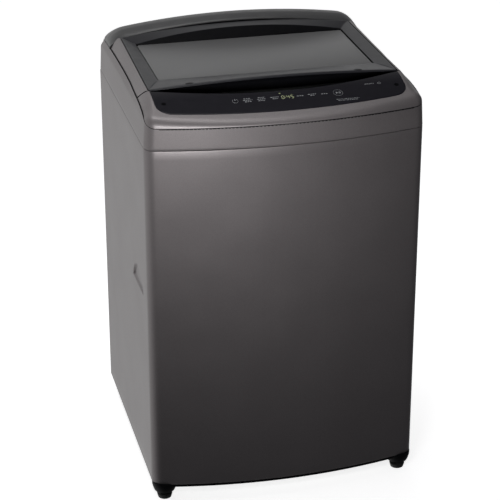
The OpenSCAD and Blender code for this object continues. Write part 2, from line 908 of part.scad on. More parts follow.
module rotor() {
    color("#7a7d80") difference() {
        union() {
            drum_ring(shaft_r, 130, 104, 108);
            drum_ring(122, 130, 108, 158);
            drum_ring(shaft_r, 24, 100, 112);
        }
        for (i = [0:7]) translate([0, ax_y, 90]) rotate([0, 0, i * 45]) translate([75, 0, 0])
            cylinder(r = 14, h = 30);
    }
}

module rotor_bolt() {
    color("#5c5f62") translate([0, ax_y, 86]) cylinder(r = 14, h = 10, $fn = 6);
}

// ---------- lid ----------

// The lid turns about its pins only when lid_open is raised for viewing
module lid_pose() {
    translate([0, hinge_y, hinge_z]) rotate([-lid_open, 0, 0]) translate([0, -hinge_y, -hinge_z])
        children();
}

module lid_plan(d) {
    intersection() {
        translate([-lid_hw + d, -big]) square([2 * lid_hw - 2 * d, 2 * big]);
        translate([0, lid_front_y + d + 4000]) circle(r = 4000, $fn = fine);
        translate([0, lid_back_y - d - 4000]) circle(r = 4000, $fn = fine);
    }
}

module lid_crowned(d) {
    translate([0, 0, -d])
        crown_body([lid_front_y, lid_mid_front_z], [lid_back_y, lid_mid_back_z], lid_r);
}

module window_plan(d) {
    round_rect(-win_hw - d, win_y0 - d, win_hw + d, win_y1 + d, 10 + d);
}

module lid_frame() {
    color("#333539") lid_pose() difference() {
        union() {
            intersection() {
                difference() {
                    translate([0, 0, lid_low_z]) linear_extrude(100) lid_plan(0);
                    intersection() {
                        translate([0, 0, lid_low_z - 1]) linear_extrude(100) lid_plan(lid_wall);
                        lid_crowned(lid_skin);
                    }
                }
                lid_crowned(0);
            }
            // wall and ledge round the window
            intersection() {
                translate([0, 0, glass_z - 3.5]) linear_extrude(60) difference() {
                    window_plan(3);
                    window_plan(0);
                }
                lid_crowned(1);
            }
            translate([0, 0, glass_z - 3.5]) linear_extrude(3.5 - 0.1) difference() {
                window_plan(3);
                window_plan(-6);
            }
        }
        translate([0, 0, glass_z - 0.1]) linear_extrude(100) window_plan(0);
        // ears take the hinge pins
        mirror_x() translate([lid_hw - 10, hinge_y, hinge_z]) rotate([0, 90, 0]) cylinder(r = pin_r, h = 20);
    }
}

module lid_glass() {
    color([0.45, 0.46, 0.48, 0.6]) lid_pose()
        translate([0, 0, glass_z]) linear_extrude(glass_t) window_plan(-0.4);
}

// Painted strip along each side of the lid, rounded down to the skirt
module lid_side_trims() {
    color("#5a5452") lid_pose() mirror_x() intersection() {
        translate([0, lid_front_y, lid_mid_front_z - lid_crown]) rotate([lid_tilt, 0, 0])
            rotate([90, 0, 0]) translate([0, 0, -500]) linear_extrude(700) polygon([
                [trim_x0, 0], [trim_x0 + 10, 0.3], [trim_x0 + 18, -0.8], [trim_x0 + 23, -2.6],
                [trim_x1, -5], [trim_x1, -8], [trim_x0 + 18, -4.6], [trim_x0, -4]
            ]);
        translate([0, 0, 900]) linear_extrude(120) polygon([
            [trim_x0, trim_front_y], [trim_x1, trim_front_y - (trim_x1 - trim_x0) * trim_run],
            [trim_x1, lid_back_y - 3],
            [trim_x0, lid_back_y - 1]
        ]);
    }
}

module lid_hinge_pins() {
    color("#b9bbbd") lid_pose() mirror_x() translate([lid_hw - 6, hinge_y, hinge_z]) rotate([0, 90, 0])
        cylinder(r = pin_r, h = 22);
}

module lid_fittings() {
    // rubber stops on the front lip and the striker that the lock takes
    color("#18181a") lid_pose() {
        for (s = [-1, 1]) translate([s * 191, lid_front_y + 7, lid_low_z - 4]) cylinder(r = 5, h = 4);
        intersection() {
            difference() {
                block([lock_x - 3, lock_y - 9, 899], [lock_x + 3, lock_y + 9, lid_mid_front_z]);
                block([lock_x - 9, lock_y - 7.5, 899.5], [lock_x + 9, lock_y + 7.5, 912.5]);
            }
            lid_crowned(lid_skin + 0.05);
        }
    }
}

cabinet_shell();
hand_grips();
rear_panel();
rear_service_cover();
rear_screws();
base_frame();
foot_lock_nuts();
rear_feet();
front_left_foot();
front_right_foot();
corner_brackets();
suspension_rods();
suspension_springs();
suspension_caps();
top_cover();
loading_rim();
control_housing();
touch_panel();
display_module();
panel_plugs();
control_board();
handle_recess();
rear_cover();
hinge_brackets();
lid_damper();
lid_lock();
lock_bolt();
cold_inlet_valve();
hot_inlet_valve();
water_level_sensor();
drawer_housing();
detergent_drawer();
power_cord_gland();
drain_pump();
drain_outlet();
drain_bellows();
outer_tub();
tub_cover_ring();
tub_drain_port();
bearing_housing();
drum_bearings();
shaft_seal();
stator();
clutch_sleeve();
basket();
basket_base();
basket_hub();
balance_ring();
lint_filters();
spin_shaft();
pulsator();
pulsator_cap();
wash_shaft();
rotor();
rotor_bolt();
lid_frame();
lid_glass();
lid_side_trims();
lid_hinge_pins();
lid_fittings();
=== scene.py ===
"""Looks of the top load washing machine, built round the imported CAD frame.

Lengths in the shape functions are millimetres in the part's own frame; put() turns them into metres.
"""
import math

import bmesh
import bpy
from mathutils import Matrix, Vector


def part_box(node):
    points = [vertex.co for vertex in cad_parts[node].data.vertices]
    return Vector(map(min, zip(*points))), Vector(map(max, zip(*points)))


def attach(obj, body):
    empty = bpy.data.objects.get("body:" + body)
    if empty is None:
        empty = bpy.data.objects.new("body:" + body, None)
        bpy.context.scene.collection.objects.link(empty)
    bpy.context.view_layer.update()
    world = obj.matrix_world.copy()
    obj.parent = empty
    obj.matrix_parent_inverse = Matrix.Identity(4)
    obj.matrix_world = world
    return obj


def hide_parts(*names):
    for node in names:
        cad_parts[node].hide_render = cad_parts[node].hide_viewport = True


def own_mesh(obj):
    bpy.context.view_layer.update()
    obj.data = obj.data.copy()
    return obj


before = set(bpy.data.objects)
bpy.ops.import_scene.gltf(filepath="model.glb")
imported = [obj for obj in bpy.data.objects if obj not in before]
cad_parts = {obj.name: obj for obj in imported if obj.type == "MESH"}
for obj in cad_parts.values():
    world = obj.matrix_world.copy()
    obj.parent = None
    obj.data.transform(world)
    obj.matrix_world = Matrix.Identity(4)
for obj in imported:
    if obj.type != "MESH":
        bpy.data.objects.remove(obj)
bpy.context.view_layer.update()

MM = 0.001
HAND = {-1: "left", 1: "right"}

# ---------------------------------------------------------------- driving sizes

shell_lo, shell_hi = (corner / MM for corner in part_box("cabinet_shell"))
HW = shell_hi.x                 # half width
Y_FRONT, Y_BACK = shell_lo.y, shell_hi.y
Z_LOW, SEAM = shell_lo.z, shell_hi.z
BOW = 40.0                      # how far the front bows forward
BOW_R = (HW * HW + BOW * BOW) / (2 * BOW)
CORNER_R = 28.0                 # front corners
BACK_R = 5.0                    # back corners
GAP = 0.8                       # seams between outer pieces

LID_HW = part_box("lid_frame")[1].x / MM - 3.0    # at the lid's front corners
LID_TAPER = 5.5                 # the lid's frame narrows this much towards the hinges
LID_FRONT, LID_BACK = -195.5, 187.5
PANEL_HW, PANEL_Y, PANEL_R, PANEL_CORNER = 283.0, -302.0, 1648.0, 38.0
LID_FRONT_SAG, LID_BACK_SAG = 13.0, 6.0
WIN_HW, WIN_FRONT, WIN_BACK = 250.0, -118.0, 144.5
GLASS_TOP = SEAM + 93.5
DRAFT, SHOULDER_DROP = 3.5, 13.0        # the skirt narrows upwards, then rolls in at its upper edge
SIDE_TOP = HW - 7.0             # half width of the top pieces at the lid's front corners
TRIM_SEAM_Y = -162.0            # where the seam between lid and console meets the skirt
SHADE_STRIP_W = 2.4                    # width of the dark strip in the seam between skirt and top pieces, painted shade that makes the seam read dark
SEAM_W = 1.9                    # dark seams between the top pieces
DECK_Z = SEAM + 48.0
HINGE_Y, HINGE_Z = 151.5, SEAM + 90.0
CRESCENT_Y, CRESCENT_END = -232.0, -188.0


# ---------------------------------------------------------------- numbers and curves

def lerp(a, b, t):
    return a + (b - a) * t


def clamp(v, lo=0.0, hi=1.0):
    return max(lo, min(hi, v))


def smooth(t):
    t = clamp(t)
    return t * t * (3 - 2 * t)


def monotone(points):
    """Smooth curve through (x, y) points that never overshoots them."""
    xs, ys = [p[0] for p in points], [p[1] for p in points]
    n = len(xs)
    slopes = [(ys[i + 1] - ys[i]) / (xs[i + 1] - xs[i]) for i in range(n - 1)]
    tangents = [slopes[0]]
    for i in range(1, n - 1):
        a, b = slopes[i - 1], slopes[i]
        tangents.append(0.0 if a * b <= 0 else 2 * a * b / (a + b))
    tangents.append(slopes[-1])

    def at(x):
        if x <= xs[0]:
            return ys[0]
        if x >= xs[-1]:
            return ys[-1]
        i = max(k for k in range(n - 1) if xs[k] <= x)
        h = xs[i + 1] - xs[i]
        t = (x - xs[i]) / h
        return (
            ys[i] * (1 + 2 * t) * (1 - t) ** 2
            + tangents[i] * h * t * (1 - t) ** 2
            + ys[i + 1] * t * t * (3 - 2 * t)
            + tangents[i + 1] * h * t * t * (t - 1)
        )

    return at


def spaced(a, b, n, ease=0.0):
    """n + 1 values from a to b; ease 1 crowds them at both ends."""
    values = []
    for i in range(n + 1):
        t = i / n
        values.append(lerp(a, b, lerp(t, 0.5 - 0.5 * math.cos(math.pi * t), ease)))
    return values


def quarter(d, run, drop):
    """Drop of an elliptical round edge at distance d from its rim."""
    if d >= run:
        return 0.0
    return drop * (1 - math.sqrt(max(0.0, 1 - (1 - d / run) ** 2)))


# ---------------------------------------------------------------- mesh making

def placed(name, data):
    """New object in the scene."""
    obj = bpy.data.objects.new(name, data)
    bpy.context.scene.collection.objects.link(obj)
    return obj


def put(name, verts, faces, sharp=35, slots=None):
    """Object from points in millimetres, smooth shaded, with edges over sharp degrees kept hard."""
    mesh = bpy.data.meshes.new(name)
    mesh.from_pydata([[c * MM for c in v] for v in verts], [], faces)
    if slots:
        mesh.polygons.foreach_set("material_index", slots)
    bm = bmesh.new()
    bm.from_mesh(mesh)
    bmesh.ops.remove_doubles(bm, verts=bm.verts, dist=1e-6)
    bmesh.ops.dissolve_degenerate(bm, edges=bm.edges, dist=1e-7)
    bmesh.ops.recalc_face_normals(bm, faces=bm.faces)
    limit = math.radians(sharp)
    for face in bm.faces:
        face.smooth = True
    for edge in bm.edges:
        if len(edge.link_faces) == 2 and edge.calc_face_angle(0.0) > limit:
            edge.smooth = False
    bm.to_mesh(mesh)
    bm.free()
    return placed(name, mesh)


def grid(name, rows, closed_u=False, closed_v=False, caps=False, sharp=35, painted_shade_from=math.inf):
    """Skin over rows of points, closed round (u) or along each row (v); columns from painted_shade_from on
    take the second material, which the skirt uses as painted shade on its inner wall."""
    n, m = len(rows), len(rows[0])
    verts = [p for row in rows for p in row]
    faces, slots = [], []
    for i in range(n if closed_u else n - 1):
        for j in range(m if closed_v else m - 1):
            i2, j2 = (i + 1) % n, (j + 1) % m
            faces.append((i * m + j, i * m + j2, i2 * m + j2, i2 * m + j))
            slots.append(1 if j >= painted_shade_from else 0)
    if caps:
        faces.append(tuple(range(m)))
        faces.append(tuple((n - 1) * m + j for j in reversed(range(m))))
        slots += [0, 0]
    return put(name, verts, faces, sharp, slots)


def thick_field(name, columns, t, sharp):
    """Closed plate whose top is the columns of points; rim and underside take the second material."""
    n, m = len(columns), len(columns[0])
    top = [p for col in columns for p in col]
    low = [(x, y, z - t) for x, y, z in top]
    k = n * m
    faces = []
    for i in range(n - 1):
        for j in range(m - 1):
            a, b, c, d = i * m + j, (i + 1) * m + j, (i + 1) * m + j + 1, i * m + j + 1
            faces += [(a, b, c, d), (k + d, k + c, k + b, k + a)]
    rim = [i * m for i in range(n)] + [(n - 1) * m + j for j in range(1, m)]
    rim += [i * m + m - 1 for i in range(n - 2, -1, -1)] + [j for j in range(m - 2, 0, -1)]
    for a, b in zip(rim, rim[1:] + rim[:1]):
        faces.append((a, b, k + b, k + a))
    slots = [0, 1] * ((n - 1) * (m - 1)) + [1] * len(rim)
    return put(name, top + low, faces, sharp, slots)


def lathe(name, profile, centre, steps, sharp):
    """Closed profile of (radius, height) points turned about the vertical through centre."""
    rows = []
    for i in range(steps):
        a = 2 * math.pi * i / steps
        ca, sa = math.cos(a), math.sin(a)
        rows.append([(centre[0] + r * ca, centre[1] + r * sa, centre[2] + z) for r, z in profile])
    return grid(name, rows, closed_u=True, closed_v=True, sharp=sharp)


def bevel(obj, width):
    """Softens the sharp edges of a piece."""
    m = obj.modifiers.new("edges", "BEVEL")
    m.width = width * MM
    m.segments = 2
    m.limit_method = "ANGLE"
    m.angle_limit = math.radians(35)
    m.harden_normals = False
    return obj


def walled(obj, thickness):
    """Gives an open skin a wall, inwards."""
    skin = obj.modifiers.new("wall", "SOLIDIFY")
    skin.thickness = thickness * MM
    skin.offset = -1
    return obj


def rounded_profile(points, radius, steps=4):
    """Closed profile with its corners rounded."""
    out = []
    n = len(points)
    for i in range(n):
        p, a, b = Vector(points[i]), Vector(points[i - 1]), Vector(points[(i + 1) % n])
        ea, eb = (a - p), (b - p)
        r = min(radius, ea.length / 2.2, eb.length / 2.2)
        s, e = p + ea.normalized() * r, p + eb.normalized() * r
        for k in range(steps + 1):
            t = k / steps
            q = s * (1 - t) ** 2 + p * 2 * t * (1 - t) + e * t * t
            out.append((q.x, q.y))
    return out


# ---------------------------------------------------------------- plan outline of the machine

CORNER_Y = Y_FRONT + BOW_R - math.sqrt((BOW_R - CORNER_R) ** 2 - (HW - CORNER_R) ** 2)
BOW_Y = Y_FRONT + BOW_R
CORNER_TURN = math.atan2(HW - CORNER_R, BOW_Y - CORNER_Y)


def outline():
    """Closed plan outline as (point, outward normal), from the back left corner by the front."""
    ring = []
    for y in spaced(Y_BACK - BACK_R, CORNER_Y, 46):
        ring.append(((-HW, y), (-1.0, 0.0)))
    for k in range(1, 13):
        a = lerp(math.pi / 2, CORNER_TURN, k / 12)
        n = (-math.sin(a), -math.cos(a))
        ring.append(((-(HW - CORNER_R) + n[0] * CORNER_R, CORNER_Y + n[1] * CORNER_R), n))
    for k in range(1, 72):
        a = lerp(CORNER_TURN, -CORNER_TURN, k / 72)
        n = (-math.sin(a), -math.cos(a))
        ring.append(((n[0] * BOW_R, BOW_Y + n[1] * BOW_R), n))
    ring += [((-p[0], p[1]), (-n[0], n[1])) for p, n in reversed(ring[: 46 + 1 + 12])]
    back = []
    for k in range(1, 7):
        a = math.pi / 2 * k / 6
        n = (math.cos(a), math.sin(a))
        back.append(((HW - BACK_R + n[0] * BACK_R, Y_BACK - BACK_R + n[1] * BACK_R), n))
    for x in spaced(HW - BACK_R, -HW + BACK_R, 30)[1:-1]:
        back.append(((x, Y_BACK), (0.0, 1.0)))
    back += [((-p[0], p[1]), (-n[0], n[1])) for p, n in reversed(back[:6])]
    return ring + back


OUTLINE = outline()


def nearest_edge(x, y):
    """Distance in from the front or side of the outline, and the y of the nearest edge point."""
    ax = abs(x)
    cx = HW - CORNER_R
    to_corner = Vector((ax - cx, y - CORNER_Y))
    turn = math.atan2(to_corner.x, -to_corner.y) if to_corner.length > 1e-9 else 0.0
    if CORNER_TURN <= turn <= math.pi / 2 and to_corner.length > 1e-9:
        return CORNER_R - to_corner.length, CORNER_Y + to_corner.normalized().y * CORNER_R
    side = HW - ax
    to_bow = Vector((ax, y - BOW_Y))
    front = BOW_R - to_bow.length
    if side < front:
        return side, max(y, CORNER_Y)
    return front, BOW_Y + to_bow.normalized().y * BOW_R


def front_y(x):
    """Front edge of the outline at x."""
    ax = min(abs(x), HW)
    if ax > BOW_R * math.sin(CORNER_TURN):
        return CORNER_Y - math.sqrt(max(0.0, CORNER_R ** 2 - (ax - HW + CORNER_R) ** 2))
    return BOW_Y - math.sqrt(BOW_R ** 2 - ax ** 2)


# Along the side: height of the skirt's upper edge over the cabinet's seam, and how far it leans in there.
skirt_edge = monotone([
    (-335, 50), (-303, 50.4), (-291, 54), (-277, 60), (-262, 64.5), (-240, 70), (-191, 75.5), (-150, 76.5),
    (-80, 78.5), (20, 80.5), (80, 80), (125, 79), (175, 77.5), (230, 75), (275, 71),
])
lean_at = monotone([
    (-335, 3.5), (-290, 3.5), (-275, 3.8), (-240, 5), (-190, 6.5), (-120, 8.5), (-50, 10.5), (275, 10.5),
])
# Middle lines of the console, the lid's outer edge and the rear hump, over the cabinet's seam.
console_line = monotone([
    (-335, 57.4), (-302, 67.2), (-250, 82.7), (-222, 90.6), (-200, 94.8), (-182, 97), (-160, 98),
])
lid_outer_line = monotone([(-196, 97), (190, 102)])
rear_line = monotone([
    (187, 121.5), (193, 124.5), (204, 128.6), (218, 131.8), (230, 132), (250, 127), (270, 118),
])


def leaning(y):
    """0 along the upright front, 1 along the sides, where the edge leans in."""
    return smooth((y + 300) / 60)


def fall(d, run, drop):
    """Drop of a slanting edge at distance d from its rim, flat at the inner end."""
    return 0.0 if d >= run else drop * (1 - d / run) ** 1.4


def console_z(x, y):
    """Height of the console's surface, falling to the skirt at its outer edge."""
    d, edge_y = nearest_edge(x, y)
    d = max(0.0, d)
    drop = max(0.5, console_line(edge_y) - skirt_edge(edge_y) - 0.3)
    return SEAM + console_line(y) - lerp(quarter(d, 18.0, drop), fall(d, 27.0, drop), leaning(edge_y))


def drawn_in(x, inward):
    """x with everything beside the touch panel drawn in, by the whole amount at the outer edge."""
    over = abs(x) - PANEL_HW
    if over <= 0:
        return x
    room = HW - PANEL_HW
    return math.copysign(PANEL_HW + over * (room - inward) / room, x)


def squeezed(x, y):
    """x of the console where its outer edge meets the leaning skirt."""
    return drawn_in(x, lean_at(y) + SHADE_STRIP_W * leaning(y))


def lid_crest(x):
    return 97 + 14.5 * (1 - (x / LID_HW) ** 2)


def lid_side(y):
    """Half width of the lid's dark frame at y."""
    return LID_HW - LID_TAPER * clamp((y + 182) / 364)


def lid_front_y(x):
    return LID_FRONT + LID_FRONT_SAG * (x / LID_HW) ** 2


def lid_back_y(x):
    return LID_BACK - LID_BACK_SAG * (x / LID_HW) ** 2


def crescent_y(x):
    """Edge of the console towards the lid: a hollow arc, then the seam out to the skirt."""
    ax = abs(x)
    if ax <= LID_HW:
        radius = (LID_HW ** 2 + (CRESCENT_END - CRESCENT_Y) ** 2) / (2 * (CRESCENT_END - CRESCENT_Y))
        return CRESCENT_Y + radius - math.sqrt(radius ** 2 - ax ** 2)
    t = min(1.0, (ax - LID_HW) / (SIDE_TOP - LID_HW))
    return CRESCENT_END + (TRIM_SEAM_Y - CRESCENT_END) * t ** 1.6


# ---------------------------------------------------------------- materials

def set_inputs(node, **values):
    """Sets sockets by name; an underscore in a keyword stands for a blank."""
    for name, value in values.items():
        node.inputs[name.replace("_", " ")].default_value = value
    return node


def add(tree, kind, **values):
    """New shader node with its sockets set."""
    return set_inputs(tree.nodes.new("ShaderNode" + kind), **values)


def surface(tree, vector, scale, detail, strength, distance):
    """Fine relief on the surface, from noise over vector."""
    fine = add(tree, "TexNoise", Scale=scale, Detail=detail)
    tree.links.new(vector, fine.inputs["Vector"])
    bump = add(tree, "Bump", Strength=strength, Distance=distance)
    tree.links.new(fine.outputs["Fac"], bump.inputs["Height"])
    tree.links.new(bump.outputs["Normal"], tree.nodes["Principled BSDF"].inputs["Normal"])


def material(name, color, rough, metal=0.0, coat=0.0, mottle=0.06, mottle_size=60.0, grain=0.0,
             grain_size=900.0, rough_var=0.06, spec=0.5, emission=None, emission_strength=0.0):
    """Procedural finish: slight tone mottling, uneven gloss and a fine surface grain."""
    mat = bpy.data.materials.new(name)
    mat.use_nodes = True
    tree = mat.node_tree
    shader, join = tree.nodes["Principled BSDF"], tree.links.new
    set_inputs(shader, Metallic=metal, IOR=1.5, Specular_IOR_Level=spec)
    set_inputs(shader, Coat_Weight=coat, Coat_Roughness=0.12)
    if emission:
        set_inputs(shader, Emission_Color=(*emission, 1), Emission_Strength=emission_strength)
    coords = add(tree, "TexCoord")
    cloud = add(tree, "TexNoise", Scale=mottle_size, Detail=6)
    join(coords.outputs["Object"], cloud.inputs["Vector"])
    tone = add(tree, "ValToRGB")
    dull, bright = tone.color_ramp.elements
    dull.position, bright.position = 0.3, 0.7
    dull.color = (*[c * (1 - mottle) for c in color], 1)
    bright.color = (*[min(1, c * (1 + mottle)) for c in color], 1)
    join(cloud.outputs["Fac"], tone.inputs["Fac"])
    join(tone.outputs["Color"], shader.inputs["Base Color"])
    gloss = add(tree, "MapRange", From_Min=0.3, From_Max=0.7)
    set_inputs(gloss, To_Min=max(0.0, rough - rough_var), To_Max=min(1.0, rough + rough_var))
    join(cloud.outputs["Fac"], gloss.inputs["Value"])
    join(gloss.outputs["Result"], shader.inputs["Roughness"])
    if grain:
        surface(tree, coords.outputs["Object"], grain_size, 3, grain, 0.0004)
    return mat


def flake_paint(name, color, rough, metal):
    """Metallic paint: fine bright flakes in a dark base under a clear coat."""
    mat = material(name, color, rough, metal=metal, coat=0.06, mottle=0.03, mottle_size=9.0,
                   grain=0.05, grain_size=700.0, rough_var=0.02)
    tree = mat.node_tree
    join = tree.links.new
    coords, tone = (next(n for n in tree.nodes if n.type == kind) for kind in ("TEX_COORD", "VALTORGB"))
    flakes = add(tree, "TexVoronoi", Scale=1400.0)
    join(coords.outputs["Object"], flakes.inputs["Vector"])
    spark = add(tree, "MapRange", From_Min=0.0, From_Max=1.0, To_Min=0.86, To_Max=1.16)
    join(flakes.outputs["Color"], spark.inputs["Value"])
    mix = add(tree, "Mix")
    mix.data_type = "RGBA"
    mix.blend_type = "MULTIPLY"
    mix.inputs["Factor"].default_value = 1.0
    join(tone.outputs["Color"], mix.inputs["A"])
    join(spark.outputs["Result"], mix.inputs["B"])
    join(mix.outputs["Result"], tree.nodes["Principled BSDF"].inputs["Base Color"])
    return mat


def brushed(name, color, rough):
    """Drawn metal with fine streaks round the vertical."""
    mat = material(name, color, rough, metal=1.0, mottle=0.05, mottle_size=25.0)
    tree = mat.node_tree
    coords = next(n for n in tree.nodes if n.type == "TEX_COORD")
    scale = add(tree, "Mapping", Scale=(1, 1, 60))
    tree.links.new(coords.outputs["Object"], scale.inputs["Vector"])
    surface(tree, scale.outputs["Vector"], 12.0, 5, 0.12, 0.0003)
    return mat


def smoked_glass(name):
    """Tinted pane: a mostly opaque grey base colour, partly the glass's tint and partly a painted reflection
    of the bright backdrop, over a weak real reflection, with a little of the inside showing.
    """
    mat = material(name, (0.138, 0.138, 0.139), 0.34, mottle=0.03, mottle_size=5.0, rough_var=0.02, spec=0.12)
    set_inputs(mat.node_tree.nodes["Principled BSDF"], Alpha=0.84)
    return mat


GRAPHITE = (0.160, 0.1465, 0.1485)
PAINT = flake_paint("graphite_paint", GRAPHITE, 0.45, 0.62)
SKIRT = flake_paint("graphite_plastic", GRAPHITE, 0.48, 0.55)
REAR = material("rear_plastic", (0.046, 0.046, 0.047), 0.40, spec=0.40, grain=0.20, grain_size=1500)
LID = material("lid_plastic", (0.019, 0.019, 0.022), 0.36, spec=0.16, mottle=0.03, grain=0.03, rough_var=0.03)
PANEL = material("panel_film", (0.0095, 0.009, 0.012), 0.24, spec=0.06, mottle=0.04, grain=0.015,
                 rough_var=0.03)
BLACK = material("black_plastic", (0.0035, 0.0035, 0.0045), 0.5, spec=0.12, grain=0.15, grain_size=1400)
GLASS = smoked_glass("smoked_glass")
WHITE = material("white_plastic", (0.74, 0.74, 0.72), 0.36, grain=0.06, grain_size=600, mottle=0.02)
LIGHT = material("light_plastic", (0.50, 0.51, 0.51), 0.34, grain=0.06, grain_size=600, mottle=0.03)
STEEL = brushed("stainless_steel", (0.60, 0.61, 0.62), 0.26)
ZINC = material("zinc_plate", (0.52, 0.53, 0.52), 0.38, metal=1.0, mottle=0.10, mottle_size=240, grain=0.1)
GALV = material("galvanised_sheet", (0.36, 0.37, 0.38), 0.46, metal=0.8, mottle=0.16, mottle_size=70,
                grain=0.08)
ALLOY = material("cast_alloy", (0.50, 0.50, 0.50), 0.50, metal=1.0, mottle=0.08, grain=0.5, grain_size=500)
# near-black with almost no gloss: the finger recess tray and the seam strips take it as painted shade, darker
# than their plastic; the two panel plugs take it as their own black
BLACK_WITH_SHADE = material("black_with_painted_shade", (0.0012, 0.0012, 0.0018), 0.6, spec=0.02, grain=0.15, grain_size=1400)
RUBBER = material("rubber", (0.014, 0.014, 0.014), 0.62, grain=0.35, grain_size=800, mottle=0.15)
COPPER = material("enamelled_copper", (0.42, 0.17, 0.07), 0.32, metal=0.9, mottle=0.12, mottle_size=300,
                  grain=0.2)
CHROME = material("bright_plating", (0.78, 0.78, 0.80), 0.08, metal=1.0, mottle=0.02, rough_var=0.03)
CIRCUIT = material("circuit_board", (0.03, 0.16, 0.06), 0.40, mottle=0.3, mottle_size=160)
BLUE = material("blue_plastic", (0.03, 0.12, 0.34), 0.38, grain=0.1)
RED = material("red_plastic", (0.40, 0.035, 0.02), 0.38, grain=0.1)
BRONZE = material("sintered_bronze", (0.42, 0.28, 0.12), 0.45, metal=1.0, mottle=0.12, grain=0.3)
# the print's own grey, with a faint emission that is painted glow to make the marks read lighter
MARK = material("panel_print_painted_glow", (0.19, 0.195, 0.205), 0.5, emission=(0.75, 0.77, 0.82), emission_strength=0.03)
LIT = material("lit_figures", (0.24, 0.26, 0.15), 0.5, emission=(0.78, 0.86, 0.42), emission_strength=0.16)

NODE_FINISH = (
    (PAINT, "cabinet_shell hand_grips"),
    (SKIRT, "top_cover control_housing lid_side_trims"),
    (GALV, "rear_panel rear_service_cover"),
    (ZINC, "rear_screws foot_lock_nuts corner_brackets suspension_rods suspension_springs lid_damper"),
    (ZINC, "drum_bearings spin_shaft wash_shaft rotor rotor_bolt lid_hinge_pins"),
    (BLACK, "base_frame panel_plugs handle_recess hinge_brackets drain_outlet lid_fittings"),
    (RUBBER, "rear_feet power_cord_gland drain_bellows tub_drain_port shaft_seal"),
    (RUBBER, "front_left_foot front_right_foot"),
    (WHITE, "lid_lock water_level_sensor drawer_housing detergent_drawer drain_pump"),
    (WHITE, "suspension_caps outer_tub tub_cover_ring"),
    (LIGHT, "loading_rim balance_ring lint_filters pulsator"),
    (STEEL, "basket basket_base"), (ALLOY, "bearing_housing basket_hub"), (CHROME, "pulsator_cap"),
    (BRONZE, "clutch_sleeve"), (COPPER, "stator"), (CIRCUIT, "control_board"), (LIT, "display_module"),
    (PANEL, "touch_panel"), (REAR, "rear_cover"), (LID, "lid_frame"), (GLASS, "lid_glass"),
    (BLUE, "cold_inlet_valve"), (RED, "hot_inlet_valve lock_bolt"),
)
for node_finish, names in NODE_FINISH:
    for node in names.split():
        node_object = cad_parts[node]
        node_object.data.materials.clear()
        node_object.data.materials.append(node_finish)

SOFTENED = """
    rear_panel base_frame top_cover loading_rim handle_recess hinge_brackets lid_lock drawer_housing
    detergent_drawer lint_filters balance_ring front_left_foot front_right_foot rear_feet power_cord_gland
    drain_outlet cold_inlet_valve hot_inlet_valve rear_service_cover rear_screws tub_cover_ring drain_pump
"""
for node in SOFTENED.split():
    bevel(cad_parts[node], 0.6)


def finish(obj, mat, body, replaced=(), second=None):
    """Gives a piece its material and body, and the CAD nodes that it stands for."""
    obj.data.materials.append(mat)
    if second:
        obj.data.materials.append(second)
    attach(obj, body)
    if replaced:
        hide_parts(*replaced)
    return obj


# ---------------------------------------------------------------- steel cabinet

GRIP_Y, GRIP_HALF, GRIP_LOW, GRIP_HIGH, GRIP_DEEP = -172.0, 60.0, SEAM - 374, SEAM - 326, 4.0


def grip_depth(y, z):
    """How far a pressed hand grip goes in at a point of the side wall."""
    u = (y - GRIP_Y) / GRIP_HALF
    if abs(u) >= 1:
        return 0.0
    top = GRIP_LOW + (GRIP_HIGH - GRIP_LOW) * (1 - abs(u) ** 2.4) ** 0.6
    inside = min(z - GRIP_LOW, top - z)
    return GRIP_DEEP * smooth(inside / 5.0) if inside > 0 else 0.0


def cabinet_wrap():
    """Bowed front and two sides in one sheet, with rolled edges and pressed grips."""
    ring = [e for e in OUTLINE if e[0][1] < Y_BACK - BACK_R + 0.01]
    ring = [((-HW, Y_BACK), (-1.0, 0.0))] + ring + [((HW, Y_BACK), (1.0, 0.0))]
    dense = []
    for (p, n), (q, m) in zip(ring, ring[1:]):
        dense.append((p, n))
        along_side = abs(p[0]) > HW - 0.01 and abs(q[0]) > HW - 0.01
        near = min(p[1], q[1]) < GRIP_Y + GRIP_HALF + 8 and max(p[1], q[1]) > GRIP_Y - GRIP_HALF - 8
        if along_side and near:
            dense += [((p[0], lerp(p[1], q[1], k / 6)), n) for k in range(1, 6)]
    dense.append(ring[-1])
    heights = spaced(Z_LOW + 2, GRIP_LOW - 4, 14) + spaced(GRIP_LOW - 3, GRIP_HIGH + 3, 40)
    heights += spaced(GRIP_HIGH + 6, SEAM - GAP / 2 - 2, 16)
    hem = [(0.25, 1.0), (1.0, 0.25), (2.6, 0.0), (12, 0.6)]     # how far in, and how far from the edge
    rows = []
    for (x, y), (nx, ny) in dense:
        section = [(inset, Z_LOW + rim) for inset, rim in reversed(hem)]
        section += [(grip_depth(y, z) if abs(nx) > 0.999 else 0.0, z) for z in heights]
        section += [(inset, SEAM - GAP / 2 - rim) for inset, rim in hem]
        rows.append([(x - nx * inset, y - ny * inset, z) for inset, z in section])
    return outward(walled(grid("cabinet_wrap", rows, sharp=50), 1.0))


def outward(obj):
    """Turns the normals of an open skin so that most of them point away from the machine's middle."""
    bm = bmesh.new()
    bm.from_mesh(obj.data)
    middle = Vector((0, -0.03, 0.5))
    score = sum((f.calc_center_median() - middle).dot(f.normal) * f.calc_area() for f in bm.faces)
    if score < 0:
        bmesh.ops.reverse_faces(bm, faces=bm.faces)
    bm.to_mesh(obj.data)
    bm.free()
    return obj


finish(cabinet_wrap(), PAINT, "cabinet", ("cabinet_shell", "hand_grips"))


